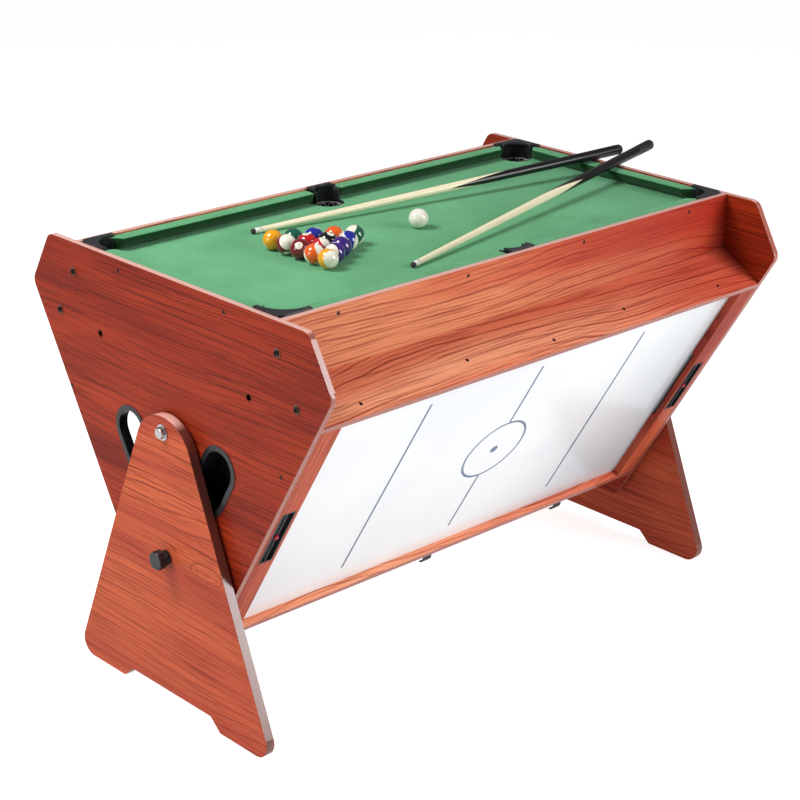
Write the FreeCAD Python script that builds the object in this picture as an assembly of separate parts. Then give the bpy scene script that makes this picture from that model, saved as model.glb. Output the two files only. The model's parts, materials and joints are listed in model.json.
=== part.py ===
"""Rotating three-game table: a three-sided cabinet on two A-shaped legs.

Millimetres. X runs along the cabinet, Y across it and Z up, with the floor at Z = 0.
Everything is drawn about the pivot axis first: x along the axis, y across a playing face and z outward from
the axis. A face is drawn as if it were on top and then turned about the axis to its own side.
"""
import FreeCAD, Part
import math
import os

Vector = FreeCAD.Vector
X_AXIS = Vector(1, 0, 0)
Z_AXIS = Vector(0, 0, 1)

# ---- driving dimensions ----
OVERALL_LENGTH = 1220.0     # over the outer faces of the legs
OVERALL_HEIGHT = 825.0      # floor to the rim of the top face
PIVOT_HEIGHT = 547.5        # floor to the pivot axis
LEG_THICKNESS = 18.0
LEG_GAP = 6.0               # leg to end panel
PANEL_THICKNESS = 12.0
RAIL_THICKNESS = 12.0
RAIL_OUTER_Y = 292.5        # outer face of the long rail boards
BALL_DIAMETER = 38.0
CUE_LENGTH = 914.0
CUE_OVERHANG_X = 720.0      # end face of the cue that sticks out furthest
KNOB_OUTER_X = 637.0        # outer face of the lock knobs
CLEARANCE = 0.2             # between boards that are fitted but not glued
RUNNING = 0.05              # radial clearance where pieces turn or slide

# ---- derived places ----
RIM = OVERALL_HEIGHT - PIVOT_HEIGHT
LEG_OUTER_X = OVERALL_LENGTH / 2
LEG_INNER_X = LEG_OUTER_X - LEG_THICKNESS
PANEL_OUTER_X = LEG_INNER_X - LEG_GAP
PANEL_INNER_X = PANEL_OUTER_X - PANEL_THICKNESS
RAIL_INNER_Y = RAIL_OUTER_Y - RAIL_THICKNESS
BISECTOR = math.radians(30)
FOLD_Z = RAIL_OUTER_Y * math.tan(BISECTOR)
# The origin is the middle of the whole box, which the overhanging cue makes longer on the +X side.
FRAME_SHIFT_X = -(CUE_OVERHANG_X - KNOB_OUTER_X) / 2

POOL, HOCKEY, FOOTBALL = 0, 120, -120   # turn of each face about X, in degrees
FACES = (POOL, HOCKEY, FOOTBALL)
ENDS = (-1, 1)

# pool face
CLOTH_TOP = RIM - 26.0
CLOTH_THICKNESS = 1.5
BED_THICKNESS = 15.0
CUSHION_TOP = RIM - 2.0
CUSHION_DEPTH = 32.0
CUSHION_FOOT = 18.0                  # how far the cushion's base stands from the rail
CORNER_POCKET = (38.0, 38.0, 29.0)   # centre from the two inner faces, and radius
CORNER_HORN = (70.0, 10.0)           # tip of a corner cover's horn
CORNER_EDGE = (63.0, 54.0)           # arc of the cover's inner edge: centre from both faces, and radius
CORNER_MOUTH = 78.0                  # sum of both distances from the faces where the pocket's wall ends
CORNER_END = (76.0, 50.0)            # end of the cushions beside it: at the nose, and at the rail
SIDE_POCKET = (33.0, 28.5)           # centre from the rail, and radius
SIDE_ARM = 30.0
SIDE_HORN = (27.5, 25.5)
SIDE_EDGE = (41.0, 33.5)             # arc of the cover's inner edge: centre from the rail, and radius
SIDE_MOUTH = 31.0                    # distance from the rail where the pocket's wall ends
SIDE_END = (34.0, 31.5)
COVER_BOTTOM = RIM - 1.7             # just above the cushions, which the covers' horns lie over
COVER_TOP = RIM + 3.5                # the covers stand proud of the rails
POCKET_WALL = 2.5
POCKET_ROOM = 0.3
CUP_LIP = 6.0                        # how far a pocket's wall reaches below the cloth
NET_DEPTH = 50.0

# hockey face and football face
FIELD_TOP = RIM - 16.0
PITCH_TOP = RIM - 97.5               # the football pitch lies deep between its boards
SHEET_THICKNESS = 1.5
END_RAIL_WIDTH = 46.0
GOAL_HALF_WIDTH = 91.5               # the slit that is the hockey goal
GOAL_SLIT = 6.0
WALL_THICKNESS = 12.0
GOAL_MOUTH = (74.0, 55.0)            # half-width and height of the football goals
HOCKEY_DROP = (34.0, 84.0)           # reach from the end panel and half-width of the hole behind a goal
FOOTBALL_DROP = (43.0, 76.0)
CUP_WALL = 3.0
CUP_FRONT = 5.0
OVAL_CENTRE = 129.0                  # from the pivot, outward
OVAL_LENGTH = 136.0
OVAL_HEIGHT = 76.0
TRAY_LENGTH = 137.0
TRAY_WIDTH = 32.0
TRAY_DEPTH = 9.0
TRAY_WALL = 3.0
TRAY_FLOOR = 1.0
ROD_Z = RIM - 2.5
ROD_RADIUS = 1.5

# strips inside the cabinet, and the clips for the cues
CLEAT_LENGTH = 1060.0
CLEAT_REACH = 28.0                   # width of the glued side of the strips behind the folds
CLEAT_THICKNESS = 26.0
PITCH_CLEAT_THICKNESS = 16.0
BATTEN_SIZE = 18.0
CLIP_X = (-30.0, 352.0)
CLIP_RADIUS = (16.0, 12.5)           # outside and inside of a clip's ring
CLIP_WIDTH = 20.0

# pivot and lock
PIVOT_RADIUS = 6.0
PIVOT_INNER_X = PANEL_INNER_X - 18.0
NUT_FLATS = 19.0
WASHER_RADIUS = 15.0
WASHER_THICKNESS = 2.0
BUSH_RADIUS = 10.0
BUSH_FLANGE = 1.5
GUIDE_RADIUS = 8.0
PIN_RADIUS = 5.0
PIN_NOSE_X = PANEL_OUTER_X + 1.5     # drawn pulled back, clear of the end panel
KNOB_INNER_X = KNOB_OUTER_X - 16.0
KNOB_RADIUS = 18.0
INDEX_RADIUS = 244.0
THREAD_ROOM = 0.02

# fasteners
RAIL_BOLT_Y = 286.5
RAIL_BOLT_Z = 222.0
RAIL_BOLT_RADIUS = 3.0
SCREW_RADIUS = 2.0
SCREW_VOID = 0.1                     # radial room around each screw
PANEL_SCREW_Y = 149.0
POOL_SCREW_Z = RIM - 14.5
BED_SCREW_Z = FIELD_TOP - SHEET_THICKNESS - BED_THICKNESS / 2
BATTEN_SCREW_Z = FIELD_TOP - SHEET_THICKNESS - BED_THICKNESS - BATTEN_SIZE / 2
CUSHION_SCREW_X = (-458, -152, 152, 458)
BED_SCREW_X = (-472, 0, 472)
BATTEN_SCREW_X = (-208, 208)

# balls and cues
BALL_RADIUS = BALL_DIAMETER / 2
REST_GAP = 0.05
RACK_APEX = (-155.0, 1.0)
RACK_PITCH = BALL_DIAMETER + 0.3
CUE_BALL = (11.0, 2.0)
CUE_1 = (-258.0, 177.0, 646.0, 45.0)         # a point the tip lies towards, and the middle of the butt's end
CUE_2 = (-160.0, -169.0, 718.15, 24.0)
TIP_RADIUS = 5.25
BUTT_RADIUS = 11.0
CUE_GAP = 0.3                                # under the tip and over the rim
SHAFT_SHARE = 0.56                           # where the butt starts, as a share of the cue's length

made = {}


# ---- small helpers ----
def box(x0, x1, y0, y1, z0, z1):
    """A box from its lower and upper limits along each axis."""
    return Part.makeBox(x1 - x0, y1 - y0, z1 - z0, Vector(x0, y0, z0))


def rod_x(radius, x0, x1, y=0.0, z=0.0):
    """A round bar along X."""
    return Part.makeCylinder(radius, x1 - x0, Vector(x0, y, z), X_AXIS)


def rod_y(radius, x, y0, y1, z):
    """A round bar along Y."""
    return Part.makeCylinder(radius, y1 - y0, Vector(x, y0, z), Vector(0, 1, 0))


def rod_z(radius, x, y, z0, z1):
    """A round bar along Z."""
    return Part.makeCylinder(radius, z1 - z0, Vector(x, y, z0), Z_AXIS)


def prism_x(points, x0, x1):
    """A prism along X from a closed outline of (y, z) points."""
    corners = [Vector(x0, y, z) for y, z in points]
    return Part.Face(Part.makePolygon(corners + corners[:1])).extrude(Vector(x1 - x0, 0, 0))


def prism_z(points, z0, z1):
    """A prism along Z from a closed outline of (x, y) points."""
    corners = [Vector(x, y, z0) for x, y in points]
    return Part.Face(Part.makePolygon(corners + corners[:1])).extrude(Vector(0, 0, z1 - z0))


def hexagon_x(across_flats, x0, x1):
    """A hexagonal bar along X on the pivot axis."""
    radius = across_flats / math.sqrt(3)
    angles = [math.radians(60 * k) for k in range(6)]
    return prism_x([(radius * math.cos(a), radius * math.sin(a)) for a in angles], x0, x1)


def stadium_x(length, height, x0, x1, z):
    """A bar along X with a stadium outline, long in Y."""
    half = (length - height) / 2
    shape = box(x0, x1, -half, half, z - height / 2, z + height / 2)
    for y in (-half, half):
        shape = shape.fuse(rod_x(height / 2, x0, x1, y, z))
    return shape.removeSplitter()


def cut_all(shape, tools):
    """Cut every tool that reaches the shape."""
    near = [tool for tool in tools if tool.BoundBox.intersect(shape.BoundBox)]
    return shape.cut(near) if near else shape


def fillet_x(shape, radius, spots):
    """Round the edges along X that pass through the given (y, z) spots."""
    chosen = []
    for edge in shape.Edges:
        start, end = edge.Vertexes[0].Point, edge.Vertexes[-1].Point
        along_x = abs(start.x - end.x) > 1 and abs(start.y - end.y) < 0.01 and abs(start.z - end.z) < 0.01
        if along_x and any(math.hypot(start.y - y, start.z - z) < 0.5 for y, z in spots):
            chosen.append(edge)
    return shape.makeFillet(radius, chosen)


def turned(shape, degrees):
    """A copy turned about the pivot axis."""
    copy = shape.copy()
    copy.rotate(Vector(0, 0, 0), X_AXIS, degrees)
    return copy


def mirrored(shape, normal):
    """A copy mirrored in the plane through the middle of the axis with this normal."""
    return shape.mirror(Vector(0, 0, 0), normal)


def at_end(shape, end):
    """A shape drawn for the +X end, or its mirror image for the -X end."""
    return shape if end > 0 else mirrored(shape, X_AXIS)


def save(name, *shapes):
    """Move the pieces from the pivot axis into the table's frame and keep them under one name."""
    solids = [solid for shape in shapes for solid in shape.Solids]
    group = solids[0] if len(solids) == 1 else Part.makeCompound(solids)
    group = group.copy()
    group.translate(Vector(FRAME_SHIFT_X, 0, PIVOT_HEIGHT))
    made[name] = group
    group.exportStep("parts/%s.step" % name)


# ---- fasteners, which also leave their room in the boards ----
def rail_bolt_spots():
    """(y, z) of the six bolts in each end panel: two by each fold."""
    spots = []
    radius = math.hypot(RAIL_BOLT_Y, RAIL_BOLT_Z)
    angle = math.atan2(RAIL_BOLT_Z, RAIL_BOLT_Y)
    for fold in (30, 150, 270):
        for side in (-1, 1):
            a = math.radians(fold) + side * (angle - BISECTOR)
            spots.append((radius * math.cos(a), radius * math.sin(a)))
    return spots


def rail_bolt(y, z, room=0.0):
    """A furniture bolt through the panel into a rail board's end, head outside."""
    shank = rod_x(RAIL_BOLT_RADIUS + room, PANEL_INNER_X - 40, PANEL_OUTER_X + 2.5, y, z)
    if room:
        return shank
    head = rod_x(5.5, PANEL_OUTER_X + 1.0, PANEL_OUTER_X + 3.5, y, z)
    socket = rod_x(2.6, PANEL_OUTER_X + 1.6, PANEL_OUTER_X + 4, y, z)
    return shank.fuse(head).cut(socket).removeSplitter()


def bolt_ring(y, z):
    """The plastic ring under a rail bolt's head."""
    ring = rod_x(8.5, PANEL_OUTER_X, PANEL_OUTER_X + 1.0, y, z)
    return ring.cut(rod_x(RAIL_BOLT_RADIUS + SCREW_VOID, PANEL_OUTER_X - 1, PANEL_OUTER_X + 2, y, z))


def panel_screw(y, z, room=0.0):
    """A countersunk screw through the end panel into the part behind it."""
    shank = rod_x(SCREW_RADIUS + room, PANEL_INNER_X - 18, PANEL_OUTER_X, y, z)
    if room:
        head = rod_x(3.8 + room, PANEL_OUTER_X - 2.4, PANEL_OUTER_X + 1, y, z)
        return shank.fuse(head)
    head = Part.makeCone(SCREW_RADIUS, 3.8, 2.0, Vector(PANEL_OUTER_X - 2.2, y, z), X_AXIS)
    return shank.cut(rod_x(5, PANEL_OUTER_X - 2.2, PANEL_OUTER_X + 1, y, z)).fuse(head).removeSplitter()


def board_screw(x, z, room=0.0):
    """A countersunk screw through a long rail board, from outside at y = -RAIL_OUTER_Y."""
    outer = -RAIL_OUTER_Y
    if room:
        return rod_y(SCREW_RADIUS + room, x, outer - 1, outer + 26, z).fuse(
            rod_y(3.4 + room, x, outer - 1, outer + 2.4, z))
    head = Part.makeCone(3.4, SCREW_RADIUS, 2.0, Vector(x, outer + 0.2, z), Vector(0, 1, 0))
    return rod_y(SCREW_RADIUS, x, outer + 2.2, outer + 26, z).fuse(head).removeSplitter()


def board_screw_set(room=0.0):
    """The screws through the pool and hockey boards, on both sides of each face, as (turn, shape) pairs."""
    screws = []
    for face in (POOL, HOCKEY):
        if face == POOL:
            places = [(x, POOL_SCREW_Z) for x in CUSHION_SCREW_X]
        else:
            places = [(x, BED_SCREW_Z) for x in BED_SCREW_X] + [(x, BATTEN_SCREW_Z) for x in BATTEN_SCREW_X]
        for x, z in places:
            front = board_screw(x, z, room)
            screws += [(face, front), (face, mirrored(front, Vector(0, 1, 0)))]
    return screws


def panel_screw_spots():
    """(y, z) of the two screws by each face, in table coordinates about the pivot."""
    spots = []
    for face in FACES:
        z = {POOL: CLOTH_TOP + 4.5, HOCKEY: BED_SCREW_Z, FOOTBALL: RIM - WALL_THICKNESS / 2}[face]
        angle = math.radians(face)
        for y in (-PANEL_SCREW_Y, PANEL_SCREW_Y):
            cosine, sine = math.cos(angle), math.sin(angle)
            spots.append((y * cosine - z * sine, y * sine + z * cosine))
    return spots


def end_voids():
    """Room for the rail bolts and panel screws at both ends."""
    right = [rail_bolt(y, z, SCREW_VOID) for y, z in rail_bolt_spots()]
    right += [panel_screw(y, z, SCREW_VOID) for y, z in panel_screw_spots()]
    return right + [mirrored(void, X_AXIS) for void in right]


END_VOIDS = end_voids()
BOARD_VOIDS = [turned(void, face) for face, void in board_screw_set(SCREW_VOID)]


def drilled(shape):
    """A finished board with the room for every fastener that crosses it."""
    return cut_all(shape, END_VOIDS + BOARD_VOIDS)


# ---- stand ----
def leg_outline():
    """Half-width of the A shape grows evenly below the round top."""
    top_radius, top_centre = 80.0, -50.0
    slope = 0.413
    norm = math.hypot(1, slope)
    tangent_y = top_radius / norm
    tangent_z = top_centre + top_radius * slope / norm
    floor = -PIVOT_HEIGHT
    foot_y = tangent_y + slope * (tangent_z - floor)
    return top_radius, top_centre, tangent_y, tangent_z, foot_y, floor


def leg():
    """The right-hand leg, with an arched foot and holes for the pivot and the lock guide."""
    top_radius, top_centre, tangent_y, tangent_z, foot_y, floor = leg_outline()
    arch_height, arch_top_y, arch_foot_y = 24.0, 118.0, 145.0
    arch = floor + arch_height
    half = [(tangent_y, tangent_z), (foot_y, floor), (arch_foot_y, floor), (arch_top_y, arch)]
    outline = half + [(-y, z) for y, z in reversed(half)]
    body = prism_x(outline, LEG_INNER_X, LEG_OUTER_X)
    body = fillet_x(body, 30, [(foot_y, floor), (-foot_y, floor)])
    body = fillet_x(body, 9, [(side * arch_foot_y, floor) for side in ENDS])
    body = fillet_x(body, 9, [(side * arch_top_y, arch) for side in ENDS])
    body = body.fuse(rod_x(top_radius, LEG_INNER_X, LEG_OUTER_X, 0, top_centre)).removeSplitter()
    body = body.cut(rod_x(PIVOT_RADIUS + RUNNING, LEG_INNER_X - 1, LEG_OUTER_X + 1))
    return body.cut(rod_x(GUIDE_RADIUS + RUNNING, LEG_INNER_X - 1, LEG_OUTER_X + 1, 0, -INDEX_RADIUS))


def pivot_bolt():
    """A hexagon-head bolt from outside the leg to inside the cabinet."""
    head_height, cone_slope = 8.0, 1.6
    seat = LEG_OUTER_X + WASHER_THICKNESS
    head = hexagon_x(NUT_FLATS, seat, seat + head_height)
    rounding = Part.makeCone(NUT_FLATS / 2 + head_height * cone_slope, NUT_FLATS / 2 - 0.5,
                             head_height, Vector(seat, 0, 0), X_AXIS)
    return head.common(rounding).fuse(rod_x(PIVOT_RADIUS, PIVOT_INNER_X, seat + 0.5)).removeSplitter()


def pivot_nuts():
    """The washer outside, the thin nut in the gap, and the washer and lock nut inside the cabinet."""
    hole = rod_x(PIVOT_RADIUS + THREAD_ROOM, PIVOT_INNER_X - 1, LEG_OUTER_X + WASHER_THICKNESS + 1)
    washer_x = PANEL_INNER_X - BUSH_FLANGE - 0.1
    thin = hexagon_x(NUT_FLATS, LEG_INNER_X - 5.0, LEG_INNER_X)
    outside = rod_x(WASHER_RADIUS, LEG_OUTER_X, LEG_OUTER_X + WASHER_THICKNESS)
    washer = rod_x(WASHER_RADIUS, washer_x - WASHER_THICKNESS, washer_x)
    lock = hexagon_x(NUT_FLATS, washer_x - WASHER_THICKNESS - 10, washer_x - WASHER_THICKNESS)
    return [piece.cut(hole) for piece in (outside, thin, washer, lock)]


def pivot_bush():
    """A flanged sleeve in the end panel that turns on the pivot bolt."""
    sleeve = rod_x(BUSH_RADIUS, PANEL_INNER_X, PANEL_OUTER_X)
    flange = rod_x(15, PANEL_INNER_X - BUSH_FLANGE, PANEL_INNER_X)
    bore = rod_x(PIVOT_RADIUS + RUNNING, PANEL_INNER_X - 5, PANEL_OUTER_X + 1)
    return sleeve.fuse(flange).removeSplitter().cut(bore)


def lock_guide():
    """A flanged sleeve through the leg."""
    flange_x = LEG_OUTER_X + 2
    body = rod_x(GUIDE_RADIUS, LEG_INNER_X, LEG_OUTER_X, 0, -INDEX_RADIUS)
    body = body.fuse(rod_x(14, LEG_OUTER_X, flange_x, 0, -INDEX_RADIUS)).removeSplitter()
    return body.cut(rod_x(PIN_RADIUS + RUNNING, LEG_INNER_X - 1, flange_x + 1, 0, -INDEX_RADIUS))


def lock_pin():
    """A steel pin with a chamfered nose and a thinner tail that the knob is moulded on."""
    pin = rod_x(PIN_RADIUS, PIN_NOSE_X, KNOB_INNER_X, 0, -INDEX_RADIUS)
    nose = [edge for edge in pin.Edges if abs(edge.BoundBox.XMax - PIN_NOSE_X) < 0.01]
    pin = pin.makeChamfer(1.2, nose)
    return pin.fuse(rod_x(4, KNOB_INNER_X, KNOB_OUTER_X - 5, 0, -INDEX_RADIUS)).removeSplitter()


def lock_knob():
    """A round knob with a scalloped edge and a soft outer rim."""
    scallops, scallop_radius, scallop_place = 8, 4.2, KNOB_RADIUS + 2.4
    knob = rod_x(KNOB_RADIUS, KNOB_INNER_X, KNOB_OUTER_X, 0, -INDEX_RADIUS)
    knob = knob.makeFillet(3, [e for e in knob.Edges if abs(e.BoundBox.XMin - KNOB_OUTER_X) < 0.01])
    for k in range(scallops):
        a = 2 * math.pi * k / scallops
        y, z = scallop_place * math.cos(a), -INDEX_RADIUS + scallop_place * math.sin(a)
        knob = knob.cut(rod_x(scallop_radius, KNOB_INNER_X - 1, KNOB_OUTER_X + 1, y, z))
    return knob.cut(rod_x(4 + THREAD_ROOM, KNOB_INNER_X - 1, KNOB_OUTER_X - 5, 0, -INDEX_RADIUS))


def make_stand():
    for end, side in zip(ENDS, ("left", "right")):
        save("leg_" + side, at_end(leg(), end))
        save("lock_pin_" + side, at_end(lock_pin(), end))
        save("lock_knob_" + side, at_end(lock_knob(), end))
    save("pivot_bolts", *[at_end(pivot_bolt(), end) for end in ENDS])
    save("pivot_nuts", *[at_end(piece, end) for end in ENDS for piece in pivot_nuts()])
    save("lock_guides", *[at_end(lock_guide(), end) for end in ENDS])


# ---- cabinet frame ----
def index_spots():
    """(y, z) of the three holes that the lock pin can enter."""
    return [(INDEX_RADIUS * math.cos(math.radians(a)), INDEX_RADIUS * math.sin(math.radians(a)))
            for a in (30, 150, 270)]


def end_panel():
    """The six-cornered right-hand end panel with all its holes."""
    corner_y = 363.0
    radius = math.hypot(corner_y, RIM)
    offset = math.atan2(RIM, corner_y) - BISECTOR
    corners = []
    for fold in (30, 150, 270):
        for side in (-1, 1):
            a = math.radians(fold) + side * offset
            corners.append((radius * math.cos(a), radius * math.sin(a)))
    body = fillet_x(prism_x(corners, PANEL_INNER_X, PANEL_OUTER_X), 22, corners)
    holes = [rod_x(BUSH_RADIUS + THREAD_ROOM, PANEL_INNER_X - 1, PANEL_OUTER_X + 1)]
    holes += [rod_x(GUIDE_RADIUS + THREAD_ROOM, PANEL_INNER_X - 1, PANEL_OUTER_X + 1, y, z)
              for y, z in index_spots()]
    for face in (HOCKEY, FOOTBALL):
        oval = stadium_x(OVAL_LENGTH, OVAL_HEIGHT, PANEL_INNER_X - 1, PANEL_OUTER_X + 1, OVAL_CENTRE)
        holes.append(turned(oval, face))
    return drilled(body.cut(holes))


def rail_board():
    """The long board on the -Y side of a face, mitred where it meets the next face's board."""
    inner_fold_z = RAIL_INNER_Y * math.tan(BISECTOR)
    outer, inner = -RAIL_OUTER_Y, -RAIL_INNER_Y
    outline = [(outer, RIM), (outer, FOLD_Z), (inner, inner_fold_z), (inner, RIM)]
    return prism_x(outline, -PANEL_INNER_X, PANEL_INNER_X)


def fold_cleat():
    """A notched strip behind the fold at 30 degrees, which both rail boards are glued to."""
    corner = RAIL_INNER_Y / math.cos(BISECTOR)
    out, across = CLEAT_REACH * math.sin(BISECTOR), CLEAT_REACH * math.cos(BISECTOR)
    places = [(corner, 0), (corner + out, across), (corner - CLEAT_THICKNESS, 0), (corner + out, -across)]
    cosine, sine = math.cos(BISECTOR), math.sin(BISECTOR)
    outline = [(r * cosine - t * sine, r * sine + t * cosine) for r, t in places]
    return prism_x(outline, -CLEAT_LENGTH / 2, CLEAT_LENGTH / 2)


def pitch_cleat():
    """A strip behind a fold that carries the pitch's edge and holds the neighbouring rail board.

    It is drawn at 30 degrees with the pitch's face on top.
    """
    top = PITCH_TOP - SHEET_THICKNESS - BED_THICKNESS
    corner = (RAIL_INNER_Y, RAIL_INNER_Y * math.tan(BISECTOR))
    low = (corner[0] + CLEAT_REACH * math.cos(BISECTOR), corner[1] - CLEAT_REACH * math.sin(BISECTOR))
    thickness = PITCH_CLEAT_THICKNESS
    back = (low[0] - thickness * math.sin(BISECTOR), low[1] - thickness * math.cos(BISECTOR))
    inner_y = RAIL_INNER_Y - BATTEN_SIZE
    inner_z = back[1] + (back[0] - inner_y) * math.tan(BISECTOR)
    outline = [corner, low, back, (inner_y, inner_z), (inner_y, top), (RAIL_INNER_Y, top)]
    return prism_x(outline, -CLEAT_LENGTH / 2, CLEAT_LENGTH / 2)


def fold_cleats():
    """The three strips: a notched one between pool and hockey, and one at each edge of the pitch."""
    front = mirrored(fold_cleat(), Vector(0, 1, 0))
    edge = pitch_cleat()
    return [front, turned(edge, FOOTBALL), turned(mirrored(edge, Vector(0, 1, 0)), FOOTBALL)]


def batten(x0, x1, bed_bottom):
    """A square strip under a bed, against the -Y rail board."""
    y = -RAIL_INNER_Y
    return box(x0, x1, y, y + BATTEN_SIZE, bed_bottom - BATTEN_SIZE, bed_bottom)


def bed_battens():
    pieces = []
    pool_bottom = CLOTH_TOP - CLOTH_THICKNESS - BED_THICKNESS
    field_bottom = FIELD_TOP - SHEET_THICKNESS - BED_THICKNESS
    for x0, x1 in ((-500, -34), (34, 500)):
        pieces.append((POOL, batten(x0, x1, pool_bottom)))
    pieces.append((HOCKEY, batten(-520, 520, field_bottom)))
    both = [(f, s) for f, s in pieces] + [(f, mirrored(s, Vector(0, 1, 0))) for f, s in pieces]
    return [drilled(turned(shape, face)) for face, shape in both]


def index_bush(y, z):
    """A steel ring flush in the end panel."""
    body = rod_x(GUIDE_RADIUS, PANEL_INNER_X, PANEL_OUTER_X, y, z)
    return body.cut(rod_x(PIN_RADIUS + 0.6, PANEL_INNER_X - 1, PANEL_OUTER_X + 1, y, z))


def cue_clip(x):
    """An open plastic clip on the underside of the lower hockey rail, drawn on the top face's -Y board."""
    ring_radius, hollow = CLIP_RADIUS
    half = CLIP_WIDTH / 2
    y, z = -RAIL_OUTER_Y - ring_radius - 1.0, RIM - 18.0
    ring = rod_x(ring_radius, x - half, x + half, y, z)
    foot = box(x - half, x + half, -RAIL_OUTER_Y - 5, -RAIL_OUTER_Y, z - 11, z + 11)
    mouth = box(x - half - 1, x + half + 1, y - 20, y, z - 8, z + 8)
    return ring.fuse(foot).cut([rod_x(hollow, x - half - 1, x + half + 1, y, z), mouth]).removeSplitter()


def make_cabinet():
    for end, side in zip(ENDS, ("left", "right")):
        save("end_panel_" + side, at_end(end_panel(), end))
    front = rail_board()
    back = mirrored(front, Vector(0, 1, 0))
    names = {POOL: ("pool_rail_front", "pool_rail_back"),
             HOCKEY: ("hockey_rail_lower", "hockey_rail_upper"),
             FOOTBALL: ("football_rail_upper", "football_rail_lower")}
    for face, (minus_name, plus_name) in names.items():
        save(minus_name, drilled(turned(front, face)))
        save(plus_name, drilled(turned(back, face)))
    save("fold_cleats", *fold_cleats())
    save("bed_battens", *bed_battens())
    save("pivot_bushes", *[at_end(pivot_bush(), end) for end in ENDS])
    save("index_bushes", *[at_end(index_bush(y, z), end) for end in ENDS for y, z in index_spots()])
    save("cue_clips", *[turned(cue_clip(x), HOCKEY) for x in CLIP_X])


# ---- pool face ----
def corner_place(end, side):
    """(x, y) of the inner corner of the frame, and the directions away from it."""
    return end * PANEL_INNER_X, side * RAIL_INNER_Y, -end, -side


def corner_centre(end, side):
    x, y, dx, dy = corner_place(end, side)
    return x + dx * CORNER_POCKET[0], y + dy * CORNER_POCKET[1]


def pocket_centres():
    """(x, y, radius) of the six pockets."""
    corners = [corner_centre(end, side) + (CORNER_POCKET[2],) for end in ENDS for side in ENDS]
    middles = [(0.0, side * (RAIL_INNER_Y - SIDE_POCKET[0]), SIDE_POCKET[1]) for side in ENDS]
    return corners + middles


def pool_board(z0, z1):
    """A flat layer of the pool bed with its six pocket holes."""
    board = box(-PANEL_INNER_X + CLEARANCE, PANEL_INNER_X - CLEARANCE,
                -RAIL_INNER_Y + CLEARANCE, RAIL_INNER_Y - CLEARANCE, z0, z1)
    holes = [rod_z(r + POCKET_WALL + POCKET_ROOM, x, y, z0 - 1, z1 + 1) for x, y, r in pocket_centres()]
    return drilled(board.cut(holes))


def pocket_cup(x, y, radius, keep_back):
    """The round wall of a pocket: full below the cloth, and only behind the mouth above it."""
    bottom = CLOTH_TOP - CUP_LIP
    outer = rod_z(radius + POCKET_WALL, x, y, bottom, COVER_BOTTOM)
    inner = rod_z(radius, x, y, bottom - 1, COVER_BOTTOM + 1)
    return outer.cut(inner).cut(keep_back)


def corner_pocket():
    """Pocket in the +X, +Y corner: a flat cover with two horns, and the cup under it."""
    x, y, dx, dy = corner_place(1, 1)
    cx, cy = corner_centre(1, 1)
    gap = CLEARANCE
    horn_a, horn_b = CORNER_HORN
    outline = [(gap, gap), (horn_a, gap), (horn_a, horn_b), (horn_b, horn_a), (gap, horn_a)]
    cover = prism_z([(x + dx * a, y + dy * b) for a, b in outline], COVER_BOTTOM, COVER_TOP)
    corner_edge = [e for e in cover.Edges if e.BoundBox.ZLength > 1
                   and abs(e.BoundBox.XMax - (x - gap)) < 0.1 and abs(e.BoundBox.YMax - (y - gap)) < 0.1]
    cover = cover.makeFillet(12, corner_edge)
    edge_place, edge_radius = CORNER_EDGE
    cover = cover.cut(rod_z(edge_radius, x + dx * edge_place, y + dy * edge_place,
                            COVER_BOTTOM - 1, COVER_TOP + 1))
    far = 60.0
    line = CORNER_MOUTH
    mouth = prism_z([(x - line, y), (x, y - line), (x, y - line - far), (x - line - far, y - line - far),
                     (x - line - far, y)], CLOTH_TOP - CLOTH_THICKNESS, COVER_BOTTOM + 1)
    cup = pocket_cup(cx, cy, CORNER_POCKET[2], mouth)
    return cover.fuse(cup).removeSplitter()


def side_pocket():
    """Pocket in the middle of the +Y rail."""
    y = RAIL_INNER_Y
    cy = y - SIDE_POCKET[0]
    (horn_x, horn_y) = SIDE_HORN
    half = [(SIDE_ARM, y - CLEARANCE), (horn_x, y - horn_y)]
    outline = half + [(-a, b) for a, b in reversed(half)]
    cover = prism_z(outline, COVER_BOTTOM, COVER_TOP)
    edge_place, edge_radius = SIDE_EDGE
    cover = cover.cut(rod_z(edge_radius, 0, y - edge_place, COVER_BOTTOM - 1, COVER_TOP + 1))
    mouth = box(-60, 60, cy - 60, y - SIDE_MOUTH, CLOTH_TOP - CLOTH_THICKNESS, COVER_BOTTOM + 1)
    cup = pocket_cup(0, cy, SIDE_POCKET[1], mouth)
    return cover.fuse(cup).removeSplitter()


def pocket_net(x, y, radius):
    """A tapering bag under the pocket, open at the top and closed at the bottom."""
    top = CLOTH_TOP - CUP_LIP - CLEARANCE
    wall, bottom_radius = 1.5, radius * 0.78
    outer = Part.makeCone(bottom_radius, radius + wall, NET_DEPTH, Vector(x, y, top - NET_DEPTH), Z_AXIS)
    inner = Part.makeCone(bottom_radius - wall, radius, NET_DEPTH - wall,
                          Vector(x, y, top - NET_DEPTH + wall), Z_AXIS)
    return outer.cut(inner)


def long_cushion():
    """Cushion on the +Y rail between the side pocket and the +X corner pocket."""
    nose_end, rail_end = CORNER_END
    side_nose, side_rail = SIDE_END
    y = RAIL_INNER_Y - CLEARANCE
    nose = RAIL_INNER_Y - CUSHION_DEPTH
    plan = [(side_rail, y), (side_nose, nose),
            (PANEL_INNER_X - nose_end, nose), (PANEL_INNER_X - rail_end, y)]
    return cushion_along_x(plan, 0, PANEL_INNER_X, y, nose)


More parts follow.
